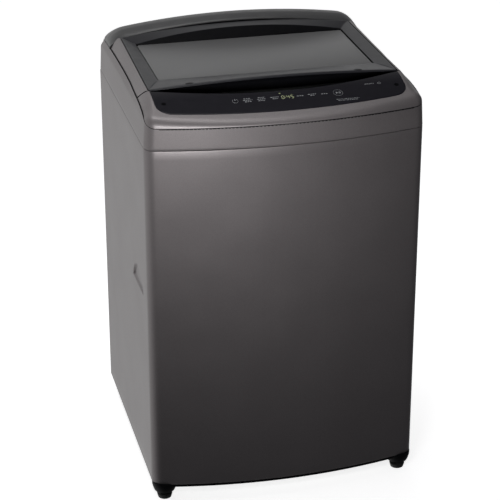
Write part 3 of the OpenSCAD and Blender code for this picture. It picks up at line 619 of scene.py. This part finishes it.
def foot_collar(side):
    """Tapered black collar round the stem of a front foot."""
    low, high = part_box("front_right_foot" if side > 0 else "front_left_foot")
    x, y = (low.x + high.x) / 2 / MM, (low.y + high.y) / 2 / MM
    profile = [(9, 46), (28.6, 46), (29.4, 44), (29, 36), (26, 25), (24, 20.6), (22.5, 20), (9, 20)]
    return lathe("foot_collar_" + HAND[side], profile, (x, y, low.z / MM), 48, 40)


for side in HAND:
    finish(foot_collar(side), BLACK, "cabinet")


# ---------------------------------------------------------------- suspension springs

SPRING_R, SPRING_WIRE, SPRING_TURNS = 14.0, 3.0, 8.5


def springs():
    """Four coil springs under the tub's corners, their ends ground flat."""
    low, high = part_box("suspension_springs")
    reach = SPRING_R + SPRING_WIRE
    ys = (low.y / MM + reach, high.y / MM - reach)
    corners = [(x, y) for x in (low.x / MM + reach, high.x / MM - reach) for y in ys]
    verts, faces = [], []
    steps, around = int(SPRING_TURNS * 32), 10
    foot, head = low.z / MM + SPRING_WIRE, high.z / MM - SPRING_WIRE
    for cx, cy in corners:
        base = len(verts)
        for i in range(steps + 1):
            t = i / steps
            a = 2 * math.pi * SPRING_TURNS * t
            rise = lerp(foot, head, clamp((t - 0.09) / 0.82))
            for k in range(around):
                b = 2 * math.pi * k / around
                r = SPRING_R + SPRING_WIRE * math.cos(b)
                verts.append((cx + r * math.cos(a), cy + r * math.sin(a), rise + SPRING_WIRE * math.sin(b)))
        for i in range(steps):
            for k in range(around):
                k2 = (k + 1) % around
                here, there = base + i * around, base + (i + 1) * around
                faces.append((here + k, here + k2, there + k2, there + k))
        faces.append(tuple(base + k for k in reversed(range(around))))
        faces.append(tuple(base + steps * around + k for k in range(around)))
    return put("coil_springs", verts, faces, sharp=60)


def bellows():
    """Corrugated rubber sleeve between the tub's drain port and the pump."""
    low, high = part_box("drain_bellows")
    x, y = (low.x + high.x) / 2 / MM, (low.y + high.y) / 2 / MM
    outer, height = (high.x - low.x) / 2 / MM, (high.z - low.z) / MM
    outside, inside = [], []
    for k in range(0, 49):
        t = k / 48
        wave = 0.5 - 0.5 * math.cos(2 * math.pi * 5 * clamp((t - 0.12) / 0.76))
        r = outer - 5.0 + 5.0 * wave
        outside.append((r, t * height))
        inside.append((r - 2.2, t * height))
    return lathe("ribbed_sleeve", outside + inside[::-1], (x, y, low.z / MM), 64, 60)


SOFT_PARTS = (
    (springs(), ZINC, "zinc", "suspension_springs"),
    (bellows(), RUBBER, "rubber", "drain_bellows"),
)
for soft, mat, slot, node in SOFT_PARTS:
    finish(soft, mat, "cabinet", (node,))
    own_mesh(soft)


# ---------------------------------------------------------------- skirt of the top cover

def skirt():
    """Painted band round the top, higher at the sides than at the front."""
    rows = []
    for (x, y), (nx, ny) in OUTLINE:
        low = SEAM + GAP / 2
        top = SEAM + skirt_edge(y)
        lean = lean_at(y) - DRAFT
        section = [(2.4, low), (1.0, low), (0.3, low + 0.3), (0.0, low + 1.0)]
        section += [(0.0, lerp(low + 1.0, top - SHOULDER_DROP, k / 8)) for k in range(1, 9)]
        section += [(0.0, lerp(top - SHOULDER_DROP, top - 1.6, k / 8)) for k in range(1, 8)]
        section += [(0.0, top - 1.6), (0.25, top - 0.7), (0.9, top - 0.15), (1.7, top), (2.4, top - 0.5)]
        section += [(2.4, top - SHOULDER_DROP * k / 4) for k in range(1, 5)]
        row = []
        for d, z in section:
            inward = DRAFT * clamp((z - low) / (top - low))
            inward += lean * clamp((z - top + SHOULDER_DROP) / SHOULDER_DROP) ** 1.35
            row.append((drawn_in(x - nx * d, inward), y - ny * d, z))
        rows.append(row)
    return grid("skirt", rows, closed_u=True, closed_v=True, sharp=40, painted_shade_from=23)


# the skirt's inner wall, seen through the seams, takes black as painted shade
finish(skirt(), SKIRT, "cabinet", ("top_cover",), BLACK)


# ---------------------------------------------------------------- console and touch panel

def panel_front_y(x):
    """Lower edge of the touch panel at x: a shallow bow with two round corners."""
    ax = min(abs(x), PANEL_HW)
    cy = PANEL_Y + PANEL_R - math.sqrt((PANEL_R - PANEL_CORNER) ** 2 - (PANEL_HW - PANEL_CORNER) ** 2)
    tangent = (PANEL_HW - PANEL_CORNER) * PANEL_R / (PANEL_R - PANEL_CORNER)
    if ax > tangent:
        return cy - math.sqrt(max(0.0, PANEL_CORNER ** 2 - (ax - PANEL_HW + PANEL_CORNER) ** 2))
    return PANEL_Y + PANEL_R - math.sqrt(PANEL_R ** 2 - ax ** 2)


def console_columns():
    """x of the console's columns, crowded at the touch panel's ends and round the corners."""
    inner = spaced(-PANEL_HW, PANEL_HW, 96, ease=0.75)
    outer = [HW - CORNER_R + CORNER_R * math.sin(math.pi / 2 * k / 12) for k in range(13)]
    outer = [PANEL_HW + 0.25] + [x for x in outer if x > PANEL_HW + 1]
    return [-x for x in reversed(outer)] + inner + outer


def console():
    """Body-coloured slab in front of the lid, sunk where the touch panel lies."""
    columns = []
    for x in console_columns():
        seat = abs(x) <= PANEL_HW
        y0, y1 = front_y(x), crescent_y(squeezed(x, 0.0))
        split = min(panel_front_y(x), y1 - 4) if seat else lerp(y0, y1, 0.5)
        column = []
        for k in range(15):
            y = y0 + (split - y0) * (k / 14) ** 1.7
            column.append((squeezed(x, y), y, console_z(x, y)))
        sink = 2.0 if seat else 0.0
        for k in range(1, 21):
            y = lerp(split + (0.3 if seat else 0.0), y1, (k - 1) / 19)
            column.append((squeezed(x, y), y, console_z(x, y) - sink))
        columns.append(column)
    return thick_field("console", columns, 3.0, sharp=32)


def panel():
    """Black touch film, a hair proud of the console round it."""
    columns = []
    rim, end = 0.7, PANEL_HW - 0.4
    for x in [-end] + spaced(-end + rim, end - rim, 96, ease=0.75) + [end]:
        y0 = panel_front_y(x) + 0.4
        y1 = crescent_y(x) - 0.6
        side = rim if abs(x) > end - 0.1 else 0.0
        column = [(x, y0, console_z(x, y0) - 0.3)]
        for y in spaced(y0 + rim, y1 - rim, 20):
            column.append((x, y, console_z(x, y) + 0.25 - side * 0.8))
        column.append((x, y1, console_z(x, y1) - 0.3))
        columns.append(column)
    return thick_field("touch_film", columns, 1.4, sharp=40)


# the console's rim and underside take black as painted shade, so that its seams read dark
finish(console(), SKIRT, "cabinet", ("control_housing",), BLACK)
finish(panel(), PANEL, "cabinet", ("touch_panel",))


def seam_shade_strip(side):
    """Dark strip in the seam between the skirt and the top pieces, painted shade that makes the seam read as
    a deep dark line.
    """
    profile = [(0, -3), (0, -0.3), (0.4, 0.1), (1.2, 0.6)]
    profile += [(SHADE_STRIP_W - 0.4, 1.0), (SHADE_STRIP_W - 0.2, 0.6), (SHADE_STRIP_W - 0.2, -3)]
    path = [(p, n) for p, n in OUTLINE if p[0] * side > 0 and -300 < p[1] < Y_BACK - 6 and abs(n[0]) > 0.4]
    rows = []
    for (x, y), (nx, ny) in sorted(path, key=lambda e: e[0][1] - abs(e[0][0]) * 0.2):
        sx, z = drawn_in(x, lean_at(y) + 0.2), SEAM + skirt_edge(y) + 0.25
        width = 0.3 + 0.7 * leaning(y)
        rows.append([(sx - nx * u * width, y - ny * u * width, z + w * width) for u, w in profile])
    return grid("seam_shade_strip_" + HAND[side], rows, closed_v=True, caps=True, sharp=60)


# dark strips in the side seams: painted shade
for side in HAND:
    finish(seam_shade_strip(side), BLACK_WITH_SHADE, "cabinet")


# ---------------------------------------------------------------- printed and lit marks

MARK_UP = 0.40                  # marks stand this far above the console's surface
MARK_T = 0.16
ROW_Y = -255.0                  # middle of the row of keys
POWER_X, START_X = -107.0, 125.0
PLUG_X, PLUG_Y, PLUG_R = 263.0, -244.0, 5.2
FIGURES = {"0": "abcdef", "4": "fgbc", "5": "afgcd"}


def patch(outlines, name):
    """Thin plates lying on the touch film, each outline a list of (x, y)."""
    verts, faces = [], []
    for loop in outlines:
        base, n = len(verts), len(loop)
        for lift in (MARK_UP - MARK_T, MARK_UP):
            verts += [(x, y, console_z(x, y) + lift) for x, y in loop]
        faces.append(tuple(base + n + k for k in range(n)))
        faces.append(tuple(base + k for k in reversed(range(n))))
        faces += [(base + k, base + (k + 1) % n, base + n + (k + 1) % n, base + n + k) for k in range(n)]
    return put(name, verts, faces)


def bar(cx, cy, w, h):
    x0, x1, y0, y1 = cx - w / 2, cx + w / 2, cy - h / 2, cy + h / 2
    return [(x0, y0), (x1, y0), (x1, y1), (x0, y1)]


def arc_band(cx, cy, r, w, a0, a1, steps):
    """Quads that follow an arc, angles in degrees."""
    def at(radius, k):
        a = math.radians(lerp(a0, a1, k / steps))
        return cx + radius * math.cos(a), cy + radius * math.sin(a)

    r0, r1 = r - w / 2, r + w / 2
    return [[at(r0, k), at(r1, k), at(r1, k + 1), at(r0, k + 1)] for k in range(steps)]


def seven_segment(cx, cy, w, h, t, lit):
    """Segments a to g of a figure, slightly narrowed so that they don't touch."""
    across, tall = w - t * 1.35, h / 2 - t * 1.35
    left, right, upper, lower = cx - w / 2, cx + w / 2, cy + h / 4, cy - h / 4
    places = {
        "a": bar(cx, cy + h / 2, across, t), "g": bar(cx, cy, across, t), "d": bar(cx, cy - h / 2, across, t),
        "f": bar(left, upper, t, tall), "b": bar(right, upper, t, tall),
        "e": bar(left, lower, t, tall), "c": bar(right, lower, t, tall),
    }
    return [places[s] for s in lit]


def dashes(cx, cy, widths, pitch, h=1.7):
    """A stack of short dashed lines, standing for a printed caption."""
    shapes = []
    for row, width in enumerate(widths):
        y = cy + ((len(widths) - 1) / 2 - row) * pitch
        x = cx - width / 2
        k = 0
        while x < cx + width / 2 - 1.0:
            piece = min((4.6, 2.8, 3.8, 2.2)[k % 4], cx + width / 2 - x)
            shapes.append(bar(x + piece / 2, y, piece, h))
            x += piece + 1.6
            k += 1
    return shapes


def marks():
    """Generic signs for the keys: power, start and pause in a ring of ticks, and dashes for captions."""
    shapes = arc_band(POWER_X, ROW_Y, 6.2, 1.0, -235, 55, 22) + [bar(POWER_X, ROW_Y + 4.6, 1.0, 6.4)]
    for cx, widths in ((-79, (17, 21, 15)), (-48, (15, 20, 17)), (-18, (19, 12))):
        shapes += dashes(cx, ROW_Y, widths, 5.4)
    for cx, widths in ((40, (17,)), (67, (20, 11)), (94, (15,))):
        shapes += dashes(cx, ROW_Y, widths, 4.6)
    shapes += [[(START_X - 4.6, ROW_Y - 3.2), (START_X, ROW_Y), (START_X - 4.6, ROW_Y + 3.2)]]
    shapes += [bar(START_X + 2.4, ROW_Y, 1.2, 6.0), bar(START_X + 5.0, ROW_Y, 1.2, 6.0)]
    for k in range(20):
        shapes += arc_band(START_X, ROW_Y, 10.5, 0.9, k * 18, k * 18 + 8, 2)
    shapes += dashes(141, -280.5, (52, 46), 4.4, h=1.2)
    shapes += dashes(203, -233.5, (21,), 4.0, h=1.6)
    shapes += arc_band(226, -233.5, 3.0, 1.0, 0, 360, 14)
    return patch(shapes, "panel_marks")


def panel_dots():
    """Two low round plugs at the ends of the touch film."""
    turn = [math.radians(a) for a in range(0, 360, 12)]
    shapes = []
    for cx in (-PLUG_X, PLUG_X):
        shapes.append([(cx + PLUG_R * math.cos(a), PLUG_Y + PLUG_R * math.sin(a)) for a in turn])
    return patch(shapes, "panel_dots")


def lit_marks():
    """Lit figures of the display, with a colon and a lamp."""
    shapes = []
    for k, figure in enumerate("045"):
        x = 2.5 + k * 9.2 - (2.6 if k == 0 else 0)
        shapes += seven_segment(x, ROW_Y, 5.0, 10.4, 1.15, FIGURES[figure])
    shapes += [bar(5.0, ROW_Y + 2.4, 1.2, 1.2), bar(5.0, ROW_Y - 2.4, 1.2, 1.2)]
    shapes += arc_band(-4, ROW_Y + 14.5, 1.3, 1.1, 0, 360, 10)
    return patch(shapes, "lit_marks")


finish(marks(), MARK, "cabinet")
finish(lit_marks(), LIT, "cabinet")
finish(panel_dots(), BLACK_WITH_SHADE, "cabinet")


# ---------------------------------------------------------------- finger recess between lid and console

def recess():
    """Black trough with a raised step that follows the console's hollow edge."""
    columns = []
    for x in spaced(-LID_HW + 2, LID_HW - 2, 80, ease=0.5):
        y0 = crescent_y(x) + 0.4
        y1 = lid_front_y(x) + 22
        rim = console_z(x, y0) - 1.5
        floor = min(SEAM + 62.5, rim - 1)
        step = lerp(floor, rim, 0.62)
        section = [(0, rim), (0.02, rim - 0.6), (0.05, step + 1.0), (0.10, step), (0.22, step + 0.2)]
        section += [(0.235, step + 1.0), (0.26, step + 1.0), (0.28, step - 0.5)]
        section += [(lerp(0.34, 1.0, k / 5), floor) for k in range(6)]
        columns.append([(x, lerp(y0, y1, t), z) for t, z in section])
    return thick_field("recess_tray", columns, 1.6, sharp=60)


# the recess tray takes the near-black as painted shade in the hollow, darker than its black plastic
finish(recess(), BLACK_WITH_SHADE, "cabinet", ("handle_recess",))


# ---------------------------------------------------------------- deck under the lid, and hinges

WELL_HW, WELL_FRONT, WELL_BACK, WELL_R = 233.0, -173.0, 129.0, 70.0
LOCK_SLOT = (247.0, 265.0, -179.0, -151.0)      # x and y of the slot for the lid's striker


def rounded_loop(x0, x1, y0, y1, r, steps=12):
    """Rectangle with round corners, from its back right corner on."""
    loop = []
    for turn, (cx, cy) in enumerate(((x1 - r, y1 - r), (x0 + r, y1 - r), (x0 + r, y0 + r), (x1 - r, y0 + r))):
        for k in range(steps + 1):
            a = math.pi / 2 * (turn + k / steps)
            loop.append((cx + r * math.cos(a), cy + r * math.sin(a)))
    return loop


def plate(name, loops, z, t):
    """Flat sheet with an outer loop and holes, its top at z."""
    bm = bmesh.new()
    for loop in loops:
        corners = [bm.verts.new((x * MM, y * MM, (z - t) * MM)) for x, y in loop]
        for a, b in zip(corners, corners[1:] + corners[:1]):
            bm.edges.new((a, b))
    bmesh.ops.triangle_fill(bm, use_beauty=True, edges=bm.edges)
    raised = bmesh.ops.extrude_face_region(bm, geom=bm.faces[:])
    upper = [v for v in raised["geom"] if isinstance(v, bmesh.types.BMVert)]
    bmesh.ops.translate(bm, vec=(0, 0, t * MM), verts=upper)
    bmesh.ops.recalc_face_normals(bm, faces=bm.faces)
    mesh = bpy.data.meshes.new(name)
    bm.to_mesh(mesh)
    bm.free()
    return bevel(placed(name, mesh), 0.5)


def deck():
    """Floor of the well between console and rear cover, open over the basket and at the lock."""
    end = HW - 3.2
    outer = [(x, min(crescent_y(x), CRESCENT_END) + 3.0) for x in spaced(-end, end, 40)]
    outer += [(x, Y_BACK - 4.0) for x in spaced(end, -end, 6)]
    well = rounded_loop(-WELL_HW, WELL_HW, WELL_FRONT, WELL_BACK, WELL_R)
    return plate("deck", [outer, well, rounded_loop(*LOCK_SLOT, 3.0, 4)], DECK_Z, 2.4)


def step_up():
    """Upright wall from the deck to the rear cover, behind the lid."""
    columns = []
    for x in spaced(-SIDE_TOP + 4, SIDE_TOP - 4, 60):
        y = rear_front_y(x) + 4.5
        top = min(rear_z(x, y + 3) - 3.4, SEAM + 112)
        middle = lerp(DECK_Z, top, 0.5)
        section = [(y - 2.0, DECK_Z), (y, DECK_Z + 3), (y, middle), (y, top - 2), (y + 2.5, top)]
        columns.append([(x, *point) for point in section])
    return walled(grid("step_up", columns, sharp=60), 1.6)


def round_bar(name, ends, y, z, r):
    """Round bar across the machine between two x, with softened ends."""
    x0, x1 = sorted(ends)
    soft = ((0, 0.6), (0.18, 0.18), (0.6, 0))       # how far along, and how much thinner
    section = [(x0 + along, r - thin) for along, thin in soft]
    section += [(x1 - along, r - thin) for along, thin in reversed(soft)]
    turn = [2 * math.pi * k / 24 for k in range(24)]
    rows = [[(x, y + rim * math.cos(a), z + rim * math.sin(a)) for a in turn] for x, rim in section]
    return grid(name, rows, closed_v=True, caps=True, sharp=50)


def bracket(side):
    """Pressed hinge bracket: foot on the deck, upright ear, rolled knuckle."""
    profile = [(-11, 0), (9, 0), (9, 3), (1.5, 5), (1.5, 38), (-3, 41), (-7, 38), (-11, 12)]
    loop = rounded_profile(profile, 2.0)
    rows = [[(side * x, HINGE_Y + u, DECK_Z + w) for u, w in loop] for x in (288.6, 291.4)]
    return bevel(grid("hinge_ear_" + HAND[side], rows, closed_v=True, caps=True, sharp=50), 0.4)


# ---------------------------------------------------------------- rear cover

REAR_FRONT = LID_BACK + 3.0
REAR_END = HW - 10.8
REAR_CROWN, CROWN_X = 16.8, 247.0       # the hump falls this much from its middle to this x


def rear_front_y(x):
    """Front edge of the rear cover at x, behind the lid."""
    return REAR_FRONT - LID_BACK_SAG * (clamp(abs(x) / LID_HW, 0, 1.09)) ** 2


def rear_z(x, y):
    """Hump behind the lid, crowned across, round at its ends and along its back edge."""
    end_drop = max(1.0, rear_line(y) - REAR_CROWN * (REAR_END / CROWN_X) ** 2 - skirt_edge(y) - 0.8)
    z = rear_line(y) - REAR_CROWN * (x / CROWN_X) ** 2 - quarter(max(0.0, REAR_END - abs(x)), 45.0, end_drop)
    return SEAM + z - quarter(max(0.0, Y_BACK - y), 7.0, 6.0)


def rear_cover():
    """Rear hump: a front lip, the top and the wall down to the skirt."""
    columns = []
    back_z = SEAM + skirt_edge(Y_BACK) + 0.8
    for x in spaced(-REAR_END, REAR_END, 120, ease=0.6):
        y0 = rear_front_y(x)
        z0 = rear_z(x, y0)
        lip = [(x, y0 + 0.9, z0 - 3.0), (x, y0 + 0.1, z0 - 1.2), (x, y0 + 0.35, z0 - 0.3)]
        ys = [y0 + (Y_BACK - y0) * (1 - (1 - k / 34) ** 1.35) for k in range(1, 35)]
        top = [(x, y, rear_z(x, y)) for y in ys]
        columns.append(lip + top + [(x, Y_BACK, lerp(top[-1][2], back_z, k / 4)) for k in range(1, 5)])
    return outward(walled(grid("rear_hump", columns, sharp=45), 2.4))


finish(rear_cover(), REAR, "cabinet", ("rear_cover",))
finish(deck(), BLACK, "cabinet")
finish(step_up(), REAR, "cabinet")
for side, word in HAND.items():
    ear = finish(bracket(side), ZINC, "cabinet")
    rod = round_bar("damper_" + word, (side * 293, side * 299), HINGE_Y - 17, DECK_Z + 23, 6.0)
    damper = finish(rod, BLACK, "cabinet")
    rod = round_bar("hinge_pin_" + word, (side * 281, side * 292.5), HINGE_Y, HINGE_Z, 1.8)
    pin = finish(rod, ZINC, "lid")
    if side < 0:
        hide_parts("hinge_brackets")
        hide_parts("lid_damper")
        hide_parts("lid_hinge_pins")


# ---------------------------------------------------------------- lid

RIM_Z = 95.5                    # inner edge of the lid's frame over the cabinet's seam
LID_ARCH = 17.3                 # rise of the lid's back edge in its middle
WIN_ARCH_Y, WIN_ARCH_Z = 9.0, 22.5      # how far the arch behind the glass reaches back and up


def side_station(side, t):
    """Station of the lid's frame on one side, t from front to back."""
    y = lerp(lid_front_y(LID_HW), lid_back_y(LID_HW), t)
    inner = (side * WIN_HW, lerp(WIN_FRONT, WIN_BACK, t))
    return (side * lid_side(y), y), lid_outer_line(y), inner, RIM_Z, "side"


def lid_sections():
    """(outer point, outer height, inner point, inner height, kind) round the lid, front left first."""
    stations = []
    ease = 0.8
    for x in spaced(-1, 1, 60, ease):
        xo = x * LID_HW
        stations.append(((xo, lid_front_y(xo)), lid_crest(xo), (x * WIN_HW, WIN_FRONT), RIM_Z, "front"))
    stations += [side_station(1, t) for t in spaced(0, 1, 40, ease)[1:]]
    for x in spaced(1, -1, 60, ease)[1:]:
        xo, arch = x * (LID_HW - LID_TAPER), 1 - x * x
        outer_z = lid_outer_line(190) + LID_ARCH * arch
        inner = (x * WIN_HW, WIN_BACK + 0.8 + WIN_ARCH_Y * arch)
        stations.append(((xo, lid_back_y(xo)), outer_z, inner, RIM_Z + WIN_ARCH_Z * arch, "back"))
    stations += [side_station(-1, t) for t in spaced(1, 0, 40, ease)[1:-1]]
    return stations


def lid_ring():
    """Dark frame of the lid: rounded lip, slope to the glass, arch behind it and the hollow underside."""
    rows = []
    for (xo, yo), zo, (xi, yi), zi, kind in lid_sections():
        row = []
        width = math.hypot(xi - xo, yi - yo)

        def at(d, z):
            """Adds a point at d millimetres in from the outer edge."""
            t = d / width
            row.append((lerp(xo, xi, t), lerp(yo, yi, t), SEAM + z))

        if kind == "front":
            taper = 1 - (abs(xo) / LID_HW) ** 6
            lip, lead, sag = 2.6 + 1.6 * taper, 5.0, 1.35
            under = min(22.0, width * 0.3)
            at(under + 0.06 * width, 72)
            at(under, 74)
            at(under * 0.8, zo - lip - 14.0 * taper - 1)
            at(under * 0.35, zo - lip - 4.0 * taper - 0.5)
            at(0.4, zo - lip - 0.6)
        else:
            lip, lead, sag = 1.8, 1.8, 1.0
            at(5, 72)
            at(3, 72)
            at(0.1, 74)
            at(0, zo - 12)
            at(0, zo - lip)
        for k in range(13):
            a = math.pi / 2 * k / 12
            at(lead * (1 - math.cos(a)), zo - lip + lip * math.sin(a))
        for k in range(1, 14):
            t = k / 13
            swell = 0.8 * math.sin(math.pi * t) if kind == "side" else 0.0
            at(lerp(lead, width - 1.2, t), lerp(zo, zi, t ** sag) + swell)
        at(width - 0.4, zi - 0.25)
        row.append((xi, yi, SEAM + zi - 1.0))
        glass_y = min(yi, WIN_BACK + 0.4) if kind == "back" else yi
        row.append((xi, lerp(yi, glass_y, 0.5), lerp(SEAM + zi - 1.0, GLASS_TOP - 1, 0.5)))
        row.append((xi, glass_y, GLASS_TOP - 1.0))
        row.append((xi, glass_y, GLASS_TOP - 5.0))
        back_off = 1 - 8 / width
        row.append((lerp(xo, xi, back_off), lerp(yo, glass_y, back_off), GLASS_TOP - 6.0))
        rows.append(row)
    return grid("lid_ring", rows, closed_u=True, closed_v=True, sharp=40)


def glass():
    """Flat tempered pane with ground edges."""
    inset, corner = 2.2, 5.0
    section = [(1.2, -4.0), (0.3, -3.7), (0.0, -3.0), (0.0, -1.0), (0.3, -0.3), (1.2, 0.0)]
    loops = []
    for d, z in section:
        x, y0, y1 = WIN_HW - inset - d, WIN_FRONT + inset + d, WIN_BACK - inset - d
        loops.append([(*point, GLASS_TOP + z) for point in rounded_loop(-x, x, y0, y1, corner - d, 6)])
    return grid("lid_pane", loops, closed_v=True, caps=True, sharp=50)


def trim(side):
    """Painted strip beside the lid frame that rounds down to the skirt."""
    columns = []
    for k in range(25):
        y0 = crescent_y(lerp(LID_HW + SEAM_W, SIDE_TOP - SHADE_STRIP_W, k / 24)) + SEAM_W
        y1 = LID_BACK - LID_BACK_SAG - 0.4
        column = []
        for y in spaced(y0, y1, 60, ease=0.3):
            x1 = HW - lean_at(y) - SHADE_STRIP_W - 0.2
            x = lerp(lid_side(y) + SEAM_W, x1, k / 24)
            flat = lid_outer_line(y) - 0.4
            column.append((side * x, y, SEAM + flat - fall(x1 - x, 18.0, flat - skirt_edge(y) - 0.2)))
        columns.append(column)
    return thick_field("lid_trim_" + HAND[side], columns, 2.6, sharp=45)


ring_piece = finish(lid_ring(), LID, "lid", ("lid_frame",), BLACK)
# painted shade: the faces under the front lip, on the walls beside the glass and on the arch wall behind it
# take black, darker than the lid's plastic
for face in ring_piece.data.polygons:
    centre, normal = face.center / MM, face.normal
    behind_glass = centre.y > WIN_BACK - 1 and normal.y < -0.5 and abs(centre.x) < WIN_HW + 1
    under_lip = centre.y < WIN_FRONT and normal.z < -0.1
    near_glass = abs(centre.x) < WIN_HW + 9 and WIN_FRONT - 9 < centre.y < WIN_BACK + 9
    beside_glass = near_glass and centre.z < GLASS_TOP + 0.6
    face.material_index = 1 if behind_glass or under_lip or beside_glass else 0
finish(glass(), GLASS, "lid", ("lid_glass",))
# the trims' rims and undersides take black as painted shade, so that the seams beside the lid read dark
finish(trim(-1), SKIRT, "lid", ("lid_side_trims",), BLACK)
finish(trim(1), SKIRT, "lid", (), BLACK)


def lip_stops():
    """Two small dark bumps on the lid's front lip."""
    loops = []
    for cx in (-191, 191):
        y0 = lid_front_y(cx) + 8.0
        zc = SEAM + lid_crest(cx) - 0.5
        piece = []
        for k in range(9):
            t = k / 8
            half = 11.0 * math.sqrt(max(0.0, 1 - (2 * t - 1) ** 2)) + 0.05
            piece.append([(cx + half * math.cos(a), y0 + lerp(-4.0, 4.0, t), zc + 1.2 * math.sin(a))
                          for a in (2 * math.pi * j / 16 for j in range(16))])
        loops.append(grid("stop", piece, closed_v=True, caps=True))
    bpy.ops.object.select_all(action="DESELECT")
    for obj in loops:
        obj.select_set(True)
    bpy.context.view_layer.objects.active = loops[0]
    bpy.ops.object.join()
    loops[0].name = "lip_stops"
    return loops[0]


finish(lip_stops(), BLACK, "lid")


# ---------------------------------------------------------------- stage, light and camera

def stage_and_light():
    """Pale floor, a soft surrounding light and two area lights; places in metres."""
    floor_mesh = bpy.data.meshes.new("floor")
    size = 14.0
    corners = [(-size, -size, 0), (size, -size, 0), (size, size, 0), (-size, size, 0)]
    floor_mesh.from_pydata(corners, [], [(0, 1, 2, 3)])
    floor = placed("floor", floor_mesh)
    floor.data.materials.append(material(
        "floor_pale", (0.90, 0.90, 0.90), 0.9, mottle=0.005, mottle_size=1.5, spec=0.1,
        emission=(1, 1, 1), emission_strength=0.80,
    ))
    floor.visible_glossy = False
    floor.visible_diffuse = False

    # studio: bright backdrop behind the machine, dim towards its front and its right
    world = bpy.data.worlds.new("studio")
    bpy.context.scene.world = world
    world.use_nodes = True
    tree = world.node_tree
    background, join = tree.nodes["Background"], tree.links.new
    coords = add(tree, "TexCoord")
    facing = add(tree, "VectorMath")
    facing.operation = "DOT_PRODUCT"
    facing.inputs[1].default_value = Vector((-0.50, 0.85, -0.25)).normalized()
    join(coords.outputs["Generated"], facing.inputs[0])
    ramp = add(tree, "ValToRGB")
    ramp.color_ramp.interpolation = "EASE"
    dim, bright = ramp.color_ramp.elements
    dim.position, bright.position = 0.46, 0.92
    dim.color = (0.10, 0.10, 0.105, 1)
    bright.color = (1.0, 1.0, 1.0, 1)
    spread = add(tree, "MapRange", From_Min=-1.0, From_Max=1.0)
    join(facing.outputs["Value"], spread.inputs["Value"])
    join(spread.outputs["Result"], ramp.inputs["Fac"])
    join(ramp.outputs["Color"], background.inputs["Color"])
    background.inputs["Strength"].default_value = 0.92

    def area(name, place, aim, size, size_y, power, spread):
        light = bpy.data.lights.new(name, "AREA")
        light.shape = "RECTANGLE"
        light.size, light.size_y = size, size_y
        light.energy = power
        light.spread = math.radians(spread)
        obj = placed(name, light)
        obj.location = place
        obj.rotation_euler = (Vector(aim) - Vector(place)).to_track_quat("-Z", "Y").to_euler()
        obj.visible_camera = False

    area("key", (-0.42, -1.25, 1.02), (-0.06, -0.33, 0.86), 0.45, 0.30, 2.8, 85)
    area("overhead", (-0.2, 0.1, 2.6), (0, 0, 0.9), 1.0, 1.0, 7, 120)


CAMERA_PLACE = (-0.98433, -3.91127, 2.31240)
CAMERA_YAW, CAMERA_PITCH = 0.2440, -0.4264      # radians, right of straight ahead and down
CAMERA_LENS, SENSOR = 132.31296, 36.0           # millimetres


def camera():
    """Camera in front of the machine, to its left and above it."""
    data = bpy.data.cameras.new("camera")
    data.sensor_width = SENSOR
    data.lens = CAMERA_LENS
    obj = placed("camera", data)
    level = math.cos(CAMERA_PITCH)
    forward = Vector((math.sin(CAMERA_YAW) * level, math.cos(CAMERA_YAW) * level, math.sin(CAMERA_PITCH)))
    obj.location = CAMERA_PLACE
    obj.rotation_euler = forward.to_track_quat("-Z", "Y").to_euler()
    bpy.context.scene.camera = obj


bpy.context.scene.view_settings.view_transform = "Standard"
stage_and_light()
camera()
